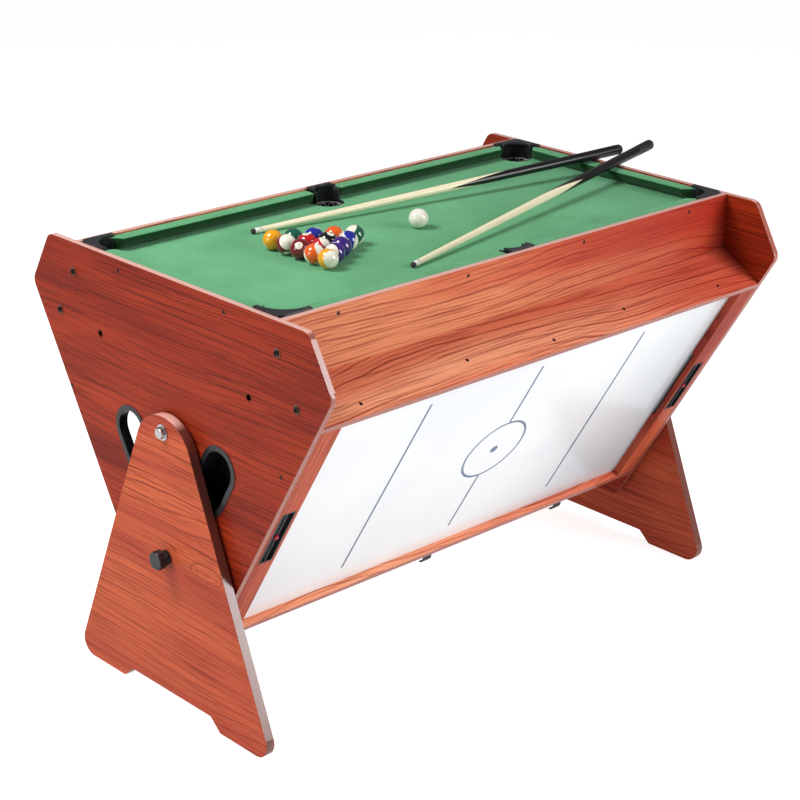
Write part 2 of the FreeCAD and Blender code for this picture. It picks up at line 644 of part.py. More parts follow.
def cushion_profile(rail, nose):
    """(y, z) outline of a cushion: flat top, rounded nose, undercut below it."""
    toward = 1 if rail > nose else -1
    base = CLOTH_TOP + 0.5
    foot = rail - toward * CUSHION_FOOT
    return [(rail, base), (foot, base), (nose, CUSHION_TOP - 6.5), (nose, CUSHION_TOP - 2.2),
            (nose + toward * 2.2, CUSHION_TOP), (rail, CUSHION_TOP)]


def cushion_along_x(plan, x0, x1, rail, nose):
    """A cushion profile run along X and trimmed to its plan outline."""
    bar = prism_x(cushion_profile(rail, nose), x0, x1)
    return bar.common(prism_z(plan, CLOTH_TOP, RIM))


def end_cushion():
    """Cushion on the +X end panel between its two corner pockets."""
    nose_end, rail_end = CORNER_END
    x = PANEL_INNER_X - CLEARANCE
    nose = PANEL_INNER_X - CUSHION_DEPTH
    half = [(nose, RAIL_INNER_Y - nose_end), (x, RAIL_INNER_Y - rail_end)]
    plan = half + [(a, -b) for a, b in reversed(half)]
    outline = [Vector(a, -RAIL_INNER_Y, z) for a, z in cushion_profile(x, nose)]
    bar = Part.Face(Part.makePolygon(outline + outline[:1])).extrude(Vector(0, 2 * RAIL_INNER_Y, 0))
    return bar.common(prism_z(plan, CLOTH_TOP, RIM))


def make_pool_face():
    bed_top = CLOTH_TOP - CLOTH_THICKNESS
    save("pool_bed", pool_board(bed_top - BED_THICKNESS, bed_top))
    save("pool_cloth", pool_board(bed_top, CLOTH_TOP))
    long_one = long_cushion()
    for side, row in ((-1, "front"), (1, "back")):
        for end, half in zip(ENDS, ("left", "right")):
            piece = at_end(long_one, end)
            piece = piece if side > 0 else mirrored(piece, Vector(0, 1, 0))
            save("cushion_%s_%s" % (row, half), drilled(piece))
    for end, side in zip(ENDS, ("left", "right")):
        save("cushion_end_" + side, drilled(at_end(end_cushion(), end)))
    corners = []
    for end in ENDS:
        piece = at_end(corner_pocket(), end)
        corners += [piece, mirrored(piece, Vector(0, 1, 0))]
    save("corner_pockets", *corners)
    save("side_pockets", side_pocket(), mirrored(side_pocket(), Vector(0, 1, 0)))
    save("pocket_nets", *[pocket_net(x, y, r) for x, y, r in pocket_centres()])


# ---- hockey face and football face ----
def field_board(z0, z1, drop_reach, drop_half):
    """A flat layer of a playing field with the two drop holes behind the goals."""
    board = box(-PANEL_INNER_X + CLEARANCE, PANEL_INNER_X - CLEARANCE,
                -RAIL_INNER_Y + CLEARANCE, RAIL_INNER_Y - CLEARANCE, z0, z1)
    drop = box(PANEL_INNER_X - drop_reach, PANEL_INNER_X + 1, -drop_half, drop_half, z0 - 1, z1 + 1)
    return board.cut([drop, mirrored(drop, X_AXIS)])


def end_rail(bottom):
    """The flat board at the +X end of a field, with the pocket for the score tray."""
    inner = PANEL_INNER_X - END_RAIL_WIDTH
    middle = PANEL_INNER_X - END_RAIL_WIDTH / 2
    outer, half = PANEL_INNER_X - CLEARANCE, RAIL_INNER_Y - CLEARANCE
    board = box(inner, outer, -half, half, bottom, RIM)
    half_x, half_y = TRAY_WIDTH / 2 + CLEARANCE, TRAY_LENGTH / 2 + CLEARANCE
    return board.cut(box(middle - half_x, middle + half_x, -half_y, half_y, RIM - TRAY_DEPTH, RIM + 1))


def hockey_end_rail():
    """An end rail that stands on the field, with the goal slit at its foot."""
    slit = box(PANEL_INNER_X - END_RAIL_WIDTH - 1, PANEL_INNER_X, -GOAL_HALF_WIDTH, GOAL_HALF_WIDTH,
               FIELD_TOP - 1, FIELD_TOP + GOAL_SLIT)
    return drilled(turned(end_rail(FIELD_TOP).cut(slit), HOCKEY))


def football_end_rail():
    """A thinner end rail over the goal."""
    return drilled(turned(end_rail(RIM - WALL_THICKNESS), FOOTBALL))


def football_end_wall():
    """The board under the +X end rail with the goal's mouth."""
    inner = PANEL_INNER_X - END_RAIL_WIDTH
    half_y, height = GOAL_MOUTH
    wall = box(inner, inner + WALL_THICKNESS, -RAIL_INNER_Y + CLEARANCE, RAIL_INNER_Y - CLEARANCE,
               PITCH_TOP, RIM - WALL_THICKNESS)
    mouth = box(inner - 1, inner + WALL_THICKNESS + 1, -half_y, half_y, PITCH_TOP - 1, PITCH_TOP + height)
    return wall.cut(mouth)


def score_tray():
    """A shallow black tray with a wall hole at each end for the score rod."""
    middle = PANEL_INNER_X - END_RAIL_WIDTH / 2
    half_x, half_y = TRAY_WIDTH / 2, TRAY_LENGTH / 2
    tray = box(middle - half_x, middle + half_x, -half_y, half_y, RIM - TRAY_DEPTH, RIM)
    hollow = box(middle - half_x + TRAY_WALL, middle + half_x - TRAY_WALL, -half_y + TRAY_WALL,
                 half_y - TRAY_WALL, RIM - TRAY_DEPTH + TRAY_FLOOR, RIM + 1)
    hole = rod_y(ROD_RADIUS + THREAD_ROOM, middle, -half_y - 1, half_y + 1, ROD_Z)
    notch = box(middle - ROD_RADIUS, middle + ROD_RADIUS, -half_y - 1, half_y + 1, ROD_Z, RIM + 1)
    return tray.cut([hollow, hole, notch])


def score_rod():
    middle = PANEL_INNER_X - END_RAIL_WIDTH / 2
    half_y = TRAY_LENGTH / 2
    return rod_y(ROD_RADIUS, middle, -half_y + CLEARANCE, half_y - CLEARANCE, ROD_Z)


def score_marker():
    """A barrel-shaped bead on the score rod."""
    middle = PANEL_INNER_X - END_RAIL_WIDTH / 2
    length, radius, end_radius = 9.0, 4.4, 3.2
    half = length / 2
    bead = Part.makeCone(end_radius, radius, half, Vector(middle, -half, ROD_Z), Vector(0, 1, 0))
    bead = bead.fuse(Part.makeCone(radius, end_radius, half, Vector(middle, 0, ROD_Z), Vector(0, 1, 0)))
    return bead.cut(rod_y(ROD_RADIUS + RUNNING, middle, -half - 1, half + 1, ROD_Z))


def goal_cup(drop_reach, half_y, top):
    """The plastic chute from behind the goal down to the oval in the end panel."""
    bottom = OVAL_CENTRE - OVAL_HEIGHT / 2 - CUP_WALL
    inner = PANEL_INNER_X - drop_reach
    outer = PANEL_INNER_X - CLEARANCE
    shell = box(inner - CUP_WALL, outer, -half_y - CUP_WALL, half_y + CUP_WALL, bottom, top)
    spout = stadium_x(OVAL_LENGTH - CLEARANCE, OVAL_HEIGHT - CLEARANCE, outer - 1, PANEL_OUTER_X, OVAL_CENTRE)
    hollow = box(inner, outer - CUP_FRONT, -half_y, half_y, bottom + CUP_WALL, top + 1)
    mouth = oval_mouth(outer - CUP_FRONT - 1)
    return shell.fuse(spout).removeSplitter().cut(hollow).cut(mouth)


def oval_mouth(x0):
    """The clear opening of an oval, from x0 outward."""
    length, height = OVAL_LENGTH - 2 * CUP_WALL, OVAL_HEIGHT - 2 * CUP_WALL
    return stadium_x(length, height, x0, PANEL_OUTER_X + 3, OVAL_CENTRE)


def goal_ring():
    """The flat oval ring on the outside of the end panel."""
    lip, thickness = 7.0, 1.5
    ring = stadium_x(OVAL_LENGTH + 2 * lip, OVAL_HEIGHT + 2 * lip, PANEL_OUTER_X, PANEL_OUTER_X + thickness,
                     OVAL_CENTRE)
    return ring.cut(oval_mouth(PANEL_OUTER_X - 1))


def make_fields():
    hockey_bottom = FIELD_TOP - SHEET_THICKNESS
    pitch_bottom = PITCH_TOP - SHEET_THICKNESS
    pitch_hole = [size + CUP_WALL + CLEARANCE for size in FOOTBALL_DROP]
    hockey_bed = field_board(hockey_bottom - BED_THICKNESS, hockey_bottom, *HOCKEY_DROP)
    save("hockey_bed", drilled(turned(hockey_bed, HOCKEY)))
    save("hockey_sheet", turned(field_board(hockey_bottom, FIELD_TOP, *HOCKEY_DROP), HOCKEY))
    pitch_board = field_board(pitch_bottom - BED_THICKNESS, pitch_bottom, *pitch_hole)
    save("football_bed", turned(pitch_board, FOOTBALL))
    save("football_sheet", turned(field_board(pitch_bottom, PITCH_TOP, *pitch_hole), FOOTBALL))
    save("football_end_walls", *[turned(at_end(football_end_wall(), end), FOOTBALL) for end in ENDS])
    rails = (("hockey", hockey_end_rail(), HOCKEY), ("football", football_end_rail(), FOOTBALL))
    for name, rail, face in rails:
        for end, side in zip(ENDS, ("left", "right")):
            save("%s_end_rail_%s" % (name, side), at_end(rail, end))
            save("%s_marker_%s" % (name, side), turned(at_end(score_marker(), end), face))
    cups = ((goal_cup(*HOCKEY_DROP, hockey_bottom - BED_THICKNESS - CLEARANCE), HOCKEY),
            (goal_cup(*FOOTBALL_DROP, PITCH_TOP), FOOTBALL))
    save("goal_cups", *[turned(at_end(cup, end), face) for cup, face in cups for end in ENDS])
    for name, build in (("score_trays", score_tray), ("score_rods", score_rod), ("goal_rings", goal_ring)):
        save(name, *[turned(at_end(build(), end), face) for face in (HOCKEY, FOOTBALL) for end in ENDS])


def make_fasteners():
    save("rail_bolts", *[at_end(rail_bolt(y, z), end) for end in ENDS for y, z in rail_bolt_spots()])
    save("bolt_rings", *[at_end(bolt_ring(y, z), end) for end in ENDS for y, z in rail_bolt_spots()])
    save("panel_screws", *[at_end(panel_screw(y, z), end) for end in ENDS for y, z in panel_screw_spots()])
    save("board_screws", *[turned(screw, face) for face, screw in board_screw_set()])


# ---- balls and cues ----
def ball(x, y):
    return Part.makeSphere(BALL_RADIUS, Vector(x, y, CLOTH_TOP + BALL_RADIUS + REST_GAP))


def racked_balls():
    """Fifteen balls in a triangle, apex towards +X."""
    apex_x, middle_y = RACK_APEX
    row_step = RACK_PITCH * math.sin(math.radians(60))
    return [ball(apex_x - row * row_step, middle_y + (place - row / 2) * RACK_PITCH)
            for row in range(5) for place in range(row + 1)]


def cue(aim_x, aim_y, butt_x, butt_y):
    """Shaft and butt of a cue whose tip lies on the cloth towards the aim point, butt over the +X rim."""
    heading = math.hypot(butt_x - aim_x, butt_y - aim_y)
    step_x, step_y = (butt_x - aim_x) / heading, (butt_y - aim_y) / heading
    rim_share = 1 - (butt_x - PANEL_INNER_X) / (step_x * CUE_LENGTH)
    tip_z = CLOTH_TOP + TIP_RADIUS + CUE_GAP
    rim_z = RIM + CUE_GAP + TIP_RADIUS + (BUTT_RADIUS - TIP_RADIUS) * rim_share
    rise = (rim_z - tip_z) / rim_share
    run = math.sqrt(CUE_LENGTH ** 2 - rise ** 2)
    tip = Vector(butt_x - step_x * run, butt_y - step_y * run, tip_z)
    direction = Vector(step_x * run, step_y * run, rise).normalize()
    joint_radius = TIP_RADIUS + (BUTT_RADIUS - TIP_RADIUS) * SHAFT_SHARE
    joint = tip + direction * (CUE_LENGTH * SHAFT_SHARE)
    butt = tip + direction * CUE_LENGTH
    shaft = Part.makeCone(TIP_RADIUS, joint_radius, CUE_LENGTH * SHAFT_SHARE, tip, direction)
    grip = Part.makeCone(joint_radius, BUTT_RADIUS, CUE_LENGTH * (1 - SHAFT_SHARE), joint, direction)
    grip = grip.makeFillet(3, [e for e in grip.Edges if e.BoundBox.Center.distanceToPoint(butt) < 2])
    return shaft, grip


def make_equipment():
    save("cue_ball", ball(*CUE_BALL))
    save("racked_balls", *racked_balls())
    for number, (shaft, grip) in enumerate((cue(*CUE_1), cue(*CUE_2)), start=1):
        save("cue_%d_shaft" % number, shaft)
        save("cue_%d_butt" % number, grip)


os.makedirs("parts", exist_ok=True)
make_stand()
make_cabinet()
make_pool_face()
make_fields()
make_fasteners()
make_equipment()
print(len(made), "nodes")
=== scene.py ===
"""Looks of the rotating three-game table, in metres, in the frame of its CAD parts.

The long side runs along X, the hockey field faces -Y, and the floor is at Z = 0.
"""
import json
import math
import bmesh
import bpy
from mathutils import Matrix, Vector, noise


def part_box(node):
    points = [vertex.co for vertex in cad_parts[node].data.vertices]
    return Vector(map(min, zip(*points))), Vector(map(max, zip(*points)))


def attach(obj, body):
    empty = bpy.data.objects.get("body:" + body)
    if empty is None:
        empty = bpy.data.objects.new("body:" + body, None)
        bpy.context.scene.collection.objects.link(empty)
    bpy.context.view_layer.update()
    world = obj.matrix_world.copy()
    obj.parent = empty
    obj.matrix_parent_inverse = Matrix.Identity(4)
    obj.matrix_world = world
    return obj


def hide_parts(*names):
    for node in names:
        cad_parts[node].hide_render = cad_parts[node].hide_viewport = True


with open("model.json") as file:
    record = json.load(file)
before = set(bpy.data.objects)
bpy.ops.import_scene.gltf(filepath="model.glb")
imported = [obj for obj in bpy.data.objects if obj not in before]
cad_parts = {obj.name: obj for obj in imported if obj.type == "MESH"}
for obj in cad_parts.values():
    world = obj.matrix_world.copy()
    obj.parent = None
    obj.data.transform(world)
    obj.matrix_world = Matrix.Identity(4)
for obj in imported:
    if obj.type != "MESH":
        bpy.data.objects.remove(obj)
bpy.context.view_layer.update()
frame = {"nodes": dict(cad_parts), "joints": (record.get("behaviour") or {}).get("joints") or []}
NODES = frame["nodes"]

# ---- places taken from the frame ----
TURN = next(joint for joint in frame["joints"] if joint["name"] == "cabinet_turn")
CLOTH_LOW, CLOTH_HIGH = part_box("pool_cloth")
PIVOT = Vector(((CLOTH_LOW.x + CLOTH_HIGH.x) / 2, 0.0, TURN["pos_m"][2]))
MM = 0.001

# ---- how far each playing face is turned about X from looking up, in degrees ----
POOL, HOCKEY, FOOTBALL = 0.0, 120.0, -120.0
FACES = (("pool", POOL), ("hockey", HOCKEY), ("football", FOOTBALL))
SIDES = ("left", "right")


def outward(turn):
    """The direction a playing face looks in."""
    a = math.radians(turn)
    return Vector((0, -math.sin(a), math.cos(a)))


def across(turn):
    """The direction across a playing face."""
    a = math.radians(turn)
    return Vector((0, math.cos(a), math.sin(a)))


def tone(red, green, blue):
    """A screen colour (sRGB, 0 to 255) as the linear values that nodes take."""
    linear = [((c / 255 + 0.055) / 1.055) ** 2.4 if c > 10 else c / 255 / 12.92 for c in (red, green, blue)]
    return (*linear, 1.0)


# ---- material nodes ----
class Paint:
    """A material with short calls for the nodes used here."""

    def __init__(self, name):
        self.material = bpy.data.materials.new(name)
        self.material.use_nodes = True
        self.tree = self.material.node_tree
        self.surface = self.tree.nodes["Principled BSDF"]
        coordinates = self.tree.nodes.new("ShaderNodeTexCoord")
        self.place = coordinates.outputs["Object"]
        self.normal = coordinates.outputs["Normal"]

    def put(self, socket, value):
        """Link a node's output to the socket, or set the socket to a plain value."""
        if isinstance(value, bpy.types.NodeSocket):
            self.tree.links.new(value, socket)
        else:
            socket.default_value = value

    def math(self, operation, *values):
        made = self.tree.nodes.new("ShaderNodeMath")
        made.operation = operation
        for socket, value in zip(made.inputs, values):
            self.put(socket, value)
        return made.outputs[0]

    def vector(self, operation, *values):
        made = self.tree.nodes.new("ShaderNodeVectorMath")
        made.operation = operation
        for socket, value in zip(made.inputs, values):
            self.put(socket, value)
        return made

    def dot(self, vector, direction):
        return self.vector("DOT_PRODUCT", vector, direction).outputs["Value"]

    def scaled(self, value, factor, offset=0.0):
        """The value times the factor, plus the offset."""
        return self.math("MULTIPLY_ADD", value, factor, offset)

    def combine(self, x, y, z):
        made = self.tree.nodes.new("ShaderNodeCombineXYZ")
        for socket, value in zip(made.inputs, (x, y, z)):
            self.put(socket, value)
        return made.outputs[0]

    def noise(self, vector, scale=1.0, detail=2.0, roughness=0.5):
        made = self.tree.nodes.new("ShaderNodeTexNoise")
        self.put(made.inputs["Vector"], vector)
        made.inputs["Scale"].default_value = scale
        made.inputs["Detail"].default_value = detail
        made.inputs["Roughness"].default_value = roughness
        return made.outputs["Fac"]

    def mix(self, share, first, second, blend="MIX"):
        """The first colour where the share is 0 and the second where it is 1."""
        made = self.tree.nodes.new("ShaderNodeMix")
        made.data_type = "RGBA"
        made.blend_type = blend
        self.put(made.inputs["Factor"], share)
        first_colour, second_colour = made.inputs[6:8]
        self.put(first_colour, first)
        self.put(second_colour, second)
        return made.outputs[2]

    def ramp(self, value, *stops):
        """Values or colours between (place, value) stops."""
        made = self.tree.nodes.new("ShaderNodeValToRGB")
        self.put(made.inputs[0], value)
        elements = made.color_ramp.elements
        while len(elements) < len(stops):
            elements.new(0.5)
        for element, (place, shade) in zip(elements, stops):
            element.position = place
            element.color = shade if isinstance(shade, tuple) else (shade, shade, shade, 1.0)
        return made.outputs[0]

    def smooth(self, value, low, high):
        """0 below low and 1 above high, or the other way round when low is the larger."""
        made = self.tree.nodes.new("ShaderNodeMapRange")
        made.interpolation_type = "SMOOTHSTEP"
        for socket, given in zip(made.inputs, (value, low, high, 0.0, 1.0)):
            self.put(socket, given)
        return made.outputs[0]

    def bump(self, height, distance, strength=1.0):
        """A normal for a relief of this height, whose full depth is the distance in metres."""
        made = self.tree.nodes.new("ShaderNodeBump")
        made.inputs["Strength"].default_value = strength
        made.inputs["Distance"].default_value = distance
        self.put(made.inputs["Height"], height)
        return made.outputs[0]

    def done(self, **inputs):
        """Set the surface's inputs, named with _ for a space, and return the material."""
        for name, value in inputs.items():
            self.put(self.surface.inputs[name.replace("_", " ")], value)
        return self.material


# ---- wood print ----
EDGE_BAND = tone(164, 92, 78)
# painted highlight: the paler colour of edge bands that face up, where the lamps above light them
TOP_BAND_HIGHLIGHT = tone(232, 178, 166)
# how dark a grain line is, as (place, darkness) stops from one line to the next
WIDE_LINE = ((0.0, 0.0), (0.74, 0.0), (0.9, 0.8), (0.95, 1.0), (1.0, 0.0))
THIN_LINE = ((0.0, 0.0), (0.5, 0.0), (0.8, 1.0), (1.0, 0.0))
THIN_PER_WIDE = 3.0


def cherry(name, along, over, light, dark, deep, band, band_mask, seed, lines=70.0, swirl=11.0, patches=0.5,
           bold=0.7, far_shade=None, figures=()):
    """Printed cherry with grain lines along one direction and a plain edge band where the mask is 1.

    The lines are the steps of a height field: lines of them per metre across the grain, bent by swirl.
    Patches and bold say how strongly the dark clouds and the wide lines show. The far-end colour is painted
    shade: the board darkens to it towards its far end, where less light falls. Edge bands that face up are
    painted paler, as a painted highlight where the lamps above light them. A figure is a place along and
    across the grain, its half length and half width, and how many extra rings it draws there.
    """
    paint = Paint(name)
    u = paint.dot(paint.place, along)
    v = paint.dot(paint.place, over)

    def streaks(along_scale, over_scale, offset, detail=2.0):
        """Noise stretched along the grain; each offset gives a pattern of its own."""
        place = paint.combine(paint.scaled(u, along_scale), paint.scaled(v, over_scale), seed + offset)
        return paint.noise(place, 1.0, detail)

    field = paint.math("ADD", paint.scaled(v, lines), paint.scaled(streaks(1.7, 5.0, 0.0, 1.0), swirl))
    field = paint.math("ADD", field, paint.scaled(streaks(6.0, 22.0, 3.0), 0.7))
    for place_u, place_v, long, broad, rings in figures:
        off_u = paint.math("POWER", paint.scaled(u, 1 / long, -place_u / long), 2.0)
        off_v = paint.math("POWER", paint.scaled(v, 1 / broad, -place_v / broad), 2.0)
        hill = paint.math("EXPONENT", paint.scaled(paint.math("ADD", off_u, off_v), -1.0))
        field = paint.math("ADD", field, paint.scaled(hill, rings))
    wide = paint.ramp(paint.math("FRACT", field), *WIDE_LINE)
    thin = paint.ramp(paint.math("FRACT", paint.scaled(field, THIN_PER_WIDE)), *THIN_LINE)
    wide = paint.math("MULTIPLY", wide, paint.smooth(streaks(2.4, 24.0, 9.0), 0.34, 0.56))
    thin = paint.math("MULTIPLY", thin, paint.smooth(streaks(4.0, 40.0, 11.0), 0.38, 0.6))
    mask = band_mask(paint)
    plain = paint.math("SUBTRACT", 1.0, mask)
    hair = paint.math("MULTIPLY", paint.smooth(streaks(6.0, 300.0, 5.0), 0.46, 0.7), plain)
    cloud = streaks(1.3, 13.0, 7.0)
    colour = paint.mix(paint.smooth(cloud, 0.36, 0.64), light, dark)
    # Painted shade: towards its far end the board darkens to the far-end colour, where less light falls.
    if far_shade is not None:
        end = paint.smooth(paint.math("ADD", u, paint.scaled(cloud, 0.5)), -0.15, 0.95)
        colour = paint.mix(end, colour, far_shade)
    colour = paint.mix(paint.math("MULTIPLY", paint.smooth(cloud, 0.52, 0.72), patches), colour, deep)
    colour = paint.mix(paint.scaled(hair, 0.5), colour, deep)
    colour = paint.mix(paint.scaled(thin, 0.5), colour, deep)
    colour = paint.mix(paint.scaled(wide, bold), colour, deep)
    # Painted highlight: edge bands that face up are paler, where the lamps above light them.
    lit_from_above = paint.smooth(paint.dot(paint.normal, (0, 0, 1)), 0.8, 0.96)
    colour = paint.mix(mask, colour, paint.mix(lit_from_above, band, TOP_BAND_HIGHLIGHT))
    gloss = paint.scaled(mask, 0.35, 0.12)
    rough = paint.math("SUBTRACT", paint.scaled(hair, 0.1, 0.34), paint.scaled(mask, 0.12))
    return paint.done(Base_Color=colour, Roughness=rough, Normal=paint.bump(hair, 0.00006, 0.4),
                      Specular_IOR_Level=gloss, Coat_Weight=paint.scaled(mask, 0.5), Coat_Roughness=0.22)


def edges_across_x(paint):
    """1 on the edges of a board whose faces look along X."""
    return paint.smooth(paint.math("ABSOLUTE", paint.dot(paint.normal, Vector((1, 0, 0)))), 0.8, 0.6)


def rim_of(turn):
    """1 on the edges that look the same way as a playing face."""
    return lambda paint: paint.smooth(paint.dot(paint.normal, outward(turn)), 0.6, 0.8)


def no_band(paint):
    """0 everywhere, for boards whose edges don't show."""
    return 0.0


def leg_wood():
    figures = ((-0.11, 0.3, 0.09, 0.028, 3.4),)
    return cherry("cherry_leg", (0, 1, 0), (0, 0, 1), tone(202, 96, 58), tone(186, 78, 50), tone(104, 26, 20),
                  tone(112, 58, 48), edges_across_x, 4.0, lines=52.0, swirl=5.5, patches=0.15, bold=0.55,
                  figures=figures)


def panel_wood():
    figures = ((-0.16, 0.5, 0.03, 0.01, 2.2), (0.27, 0.72, 0.05, 0.014, 2.0), (0.08, 0.6, 0.03, 0.008, -2.0))
    return cherry("cherry_panel", (0, 1, 0), (0, 0, 1), tone(160, 52, 24), tone(136, 38, 17), tone(58, 14, 9),
                  EDGE_BAND, edges_across_x, 1.5, lines=66.0, swirl=5.5, patches=0.15, bold=0.6,
                  figures=figures)


def rail_wood(turn, label, seed, light, dark, far_shade):
    """Long boards: the grain runs along X, and both board directions across it share one pattern."""
    diagonal = (across(turn) + outward(turn) * 1.13).normalized()
    return cherry("cherry_rail_" + label, (1, 0, 0), diagonal, light, dark, tone(132, 26, 22),
                  EDGE_BAND, rim_of(turn), seed, lines=62.0, swirl=6.0, patches=0.16, bold=0.66, far_shade=far_shade)


def end_rail_wood(turn, label, seed):
    """The end rails: the grain runs across the face."""
    return cherry("cherry_end_rail_" + label, across(turn), (1, 0, 0), tone(204, 104, 72), tone(176, 70, 50),
                  tone(110, 30, 24), EDGE_BAND, no_band, seed, lines=80.0, swirl=8.0, patches=0.4)


def fibreboard(face, turn):
    """Raw board whose cut edges, which show inside the pockets, are near-black as painted shade of the pocket
    holes.
    """
    paint = Paint("raw_board_" + face)
    speck = paint.noise(paint.place, 900.0, 4.0, 0.7)
    cloud = paint.noise(paint.place, 14.0, 2.0)
    colour = paint.mix(paint.smooth(speck, 0.3, 0.7), tone(150, 116, 82), tone(186, 152, 112))
    colour = paint.mix(paint.scaled(cloud, 0.3), colour, tone(128, 94, 64))
    # Painted shade: the cut edges, across the board's face, turn near-black where they line the pocket holes.
    flat = paint.math("ABSOLUTE", paint.dot(paint.normal, outward(turn)))
    colour = paint.mix(paint.smooth(flat, 0.7, 0.5), colour, tone(20, 19, 20))
    return paint.done(Base_Color=colour, Roughness=0.8, Normal=paint.bump(speck, 0.0002, 0.4))


def softwood():
    paint = Paint("softwood")
    stretched = paint.vector("MULTIPLY", paint.place, (3.0, 90.0, 90.0)).outputs[0]
    grain = paint.noise(stretched, 1.0, 3.0, 0.6)
    colour = paint.mix(paint.smooth(grain, 0.35, 0.65), tone(214, 178, 128), tone(180, 136, 86))
    return paint.done(Base_Color=colour, Roughness=0.65, Normal=paint.bump(grain, 0.0003, 0.4))


# ---- cloth, cord ----
def felt(name, near, far, side):
    """Napped cloth: short fuzz, faint cloudiness and a soft sheen; darker down a side, partly nap and partly
    painted shade.
    """
    paint = Paint(name)
    fuzz = paint.noise(paint.place, 1400.0, 3.0, 0.7)
    nap = paint.noise(paint.vector("MULTIPLY", paint.place, (160.0, 420.0, 420.0)).outputs[0], 1.0, 3.0, 0.6)
    cloud = paint.noise(paint.place, 7.0, 3.0, 0.55)
    colour = paint.mix(paint.smooth(cloud, 0.36, 0.66), near, far)
    colour = paint.mix(paint.scaled(paint.smooth(nap, 0.3, 0.75), 0.16), colour, tone(36, 96, 60))
    colour = paint.mix(paint.scaled(paint.smooth(fuzz, 0.35, 0.75), 0.14), colour, tone(178, 226, 190))
    # Painted shade, partly nap: sides that hang down, such as the cushion noses, are multiplied by the side
    # colour.
    side_shade_mask = paint.smooth(paint.dot(paint.normal, (0, 0, 1)), 0.94, 0.55)
    colour = paint.mix(side_shade_mask, colour, paint.mix(1.0, colour, side, "MULTIPLY"))
    height = paint.math("ADD", paint.scaled(fuzz, 0.6), paint.scaled(nap, 0.6))
    normal = paint.bump(height, 0.0004, 0.45)
    return paint.done(Base_Color=colour, Roughness=0.95, Normal=normal, Specular_IOR_Level=0.15,
                      Sheen_Weight=0.25, Sheen_Roughness=0.5, Sheen_Tint=tone(190, 235, 200))


def cord():
    paint = Paint("net_cord")
    twist = paint.noise(paint.place, 1600.0, 2.0)
    colour = paint.mix(twist, tone(138, 136, 130), tone(184, 182, 174))
    return paint.done(Base_Color=colour, Roughness=0.85, Normal=paint.bump(twist, 0.0004, 0.6))


# ---- plastics and metals ----
def plastic(name, colour, other, rough, grain=0.00006):
    """Moulded plastic with a fine texture and faint clouding."""
    paint = Paint(name)
    fine = paint.noise(paint.place, 1100.0, 2.0)
    cloud = paint.noise(paint.place, 40.0, 3.0)
    shade = paint.mix(paint.smooth(cloud, 0.35, 0.65), colour, other)
    roughness = paint.ramp(cloud, (0.3, rough - 0.05), (0.7, rough + 0.07))
    return paint.done(Base_Color=shade, Roughness=roughness, Normal=paint.bump(fine, grain, 0.5))


def metal(name, colour, rough, worn):
    """Plated or blackened steel with fine scratches."""
    paint = Paint(name)
    stretched = paint.vector("MULTIPLY", paint.place, (90.0, 1500.0, 1500.0)).outputs[0]
    scratch = paint.noise(stretched, 1.0, 3.0, 0.7)
    blotch = paint.noise(paint.place, 220.0, 3.0)
    shade = paint.mix(paint.smooth(blotch, 0.45, 0.7), colour, worn)
    roughness = paint.ramp(scratch, (0.3, rough - 0.08), (0.75, rough + 0.12))
    return paint.done(Base_Color=shade, Metallic=1.0, Roughness=roughness,
                      Normal=paint.bump(scratch, 0.00005, 0.4))


# ---- printed playing sheets ----
def face_places(paint, turn):
    """Distances along and across a face, from its middle."""
    centred = paint.vector("SUBTRACT", paint.place, PIVOT).outputs[0]
    return paint.dot(centred, (1, 0, 0)), paint.dot(centred, across(turn))


INK_BLUR = 0.3 * MM


def inside(paint, value, limit):
    """1 where the value is between -limit and limit."""
    return paint.smooth(paint.math("ABSOLUTE", value), limit + INK_BLUR, limit - INK_BLUR)


def stroke(paint, distance, width):
    """1 where the distance is within half a line's width of zero."""
    return inside(paint, distance, width / 2)


def both(paint, *masks):
    """1 where every mask is 1."""
    result = masks[0]
    for mask in masks[1:]:
        result = paint.math("MULTIPLY", result, mask)
    return result


def either(paint, *masks):
    """1 where any mask is 1."""
    result = masks[0]
    for mask in masks[1:]:
        result = paint.math("MAXIMUM", result, mask)
    return result


def from_centre(paint, x, y):
    return paint.math("SQRT", paint.math("ADD", paint.math("POWER", x, 2.0), paint.math("POWER", y, 2.0)))


def hockey_print():
    """White sheet with three blue lines, a centre circle and its dot."""
    width, circle, spot = 5.5 * MM, 75 * MM, 9.5 * MM
    line_x, reach = 284 * MM, 232 * MM
    paint = Paint("white_sheet")
    x, y = face_places(paint, HOCKEY)
    radius = from_centre(paint, x, y)
    outer = stroke(paint, paint.math("SUBTRACT", paint.math("ABSOLUTE", x), line_x), width)
    middle = both(paint, stroke(paint, x, width), paint.smooth(radius, circle - MM, circle))
    lines = both(paint, either(paint, outer, middle), inside(paint, y, reach))
    ring = stroke(paint, paint.math("SUBTRACT", radius, circle), width)
    dot = paint.smooth(radius, spot + 0.5 * MM, spot - 0.5 * MM)
    ink = either(paint, lines, ring, dot)
    cloud = paint.noise(paint.place, 3.0, 2.0)
    ground = paint.mix(paint.smooth(cloud, 0.35, 0.65), tone(246, 249, 251), tone(238, 242, 246))
    # Painted shade and painted reflection: the sheet greys towards its right end.
    painted_end_shade = paint.smooth(paint.math("ADD", x, paint.scaled(y, -0.4)), 0.1, 0.75)
    ground = paint.mix(painted_end_shade, ground, tone(178, 184, 190))
    colour = paint.mix(paint.scaled(ink, 0.9), ground, tone(30, 76, 124))
    ripple = paint.noise(paint.place, 30.0, 1.0)
    return paint.done(Base_Color=colour, Roughness=paint.ramp(cloud, (0.3, 0.16), (0.7, 0.22)),
                      Normal=paint.bump(ripple, 0.0003, 0.15), Coat_Weight=0.3, Coat_Roughness=0.1)


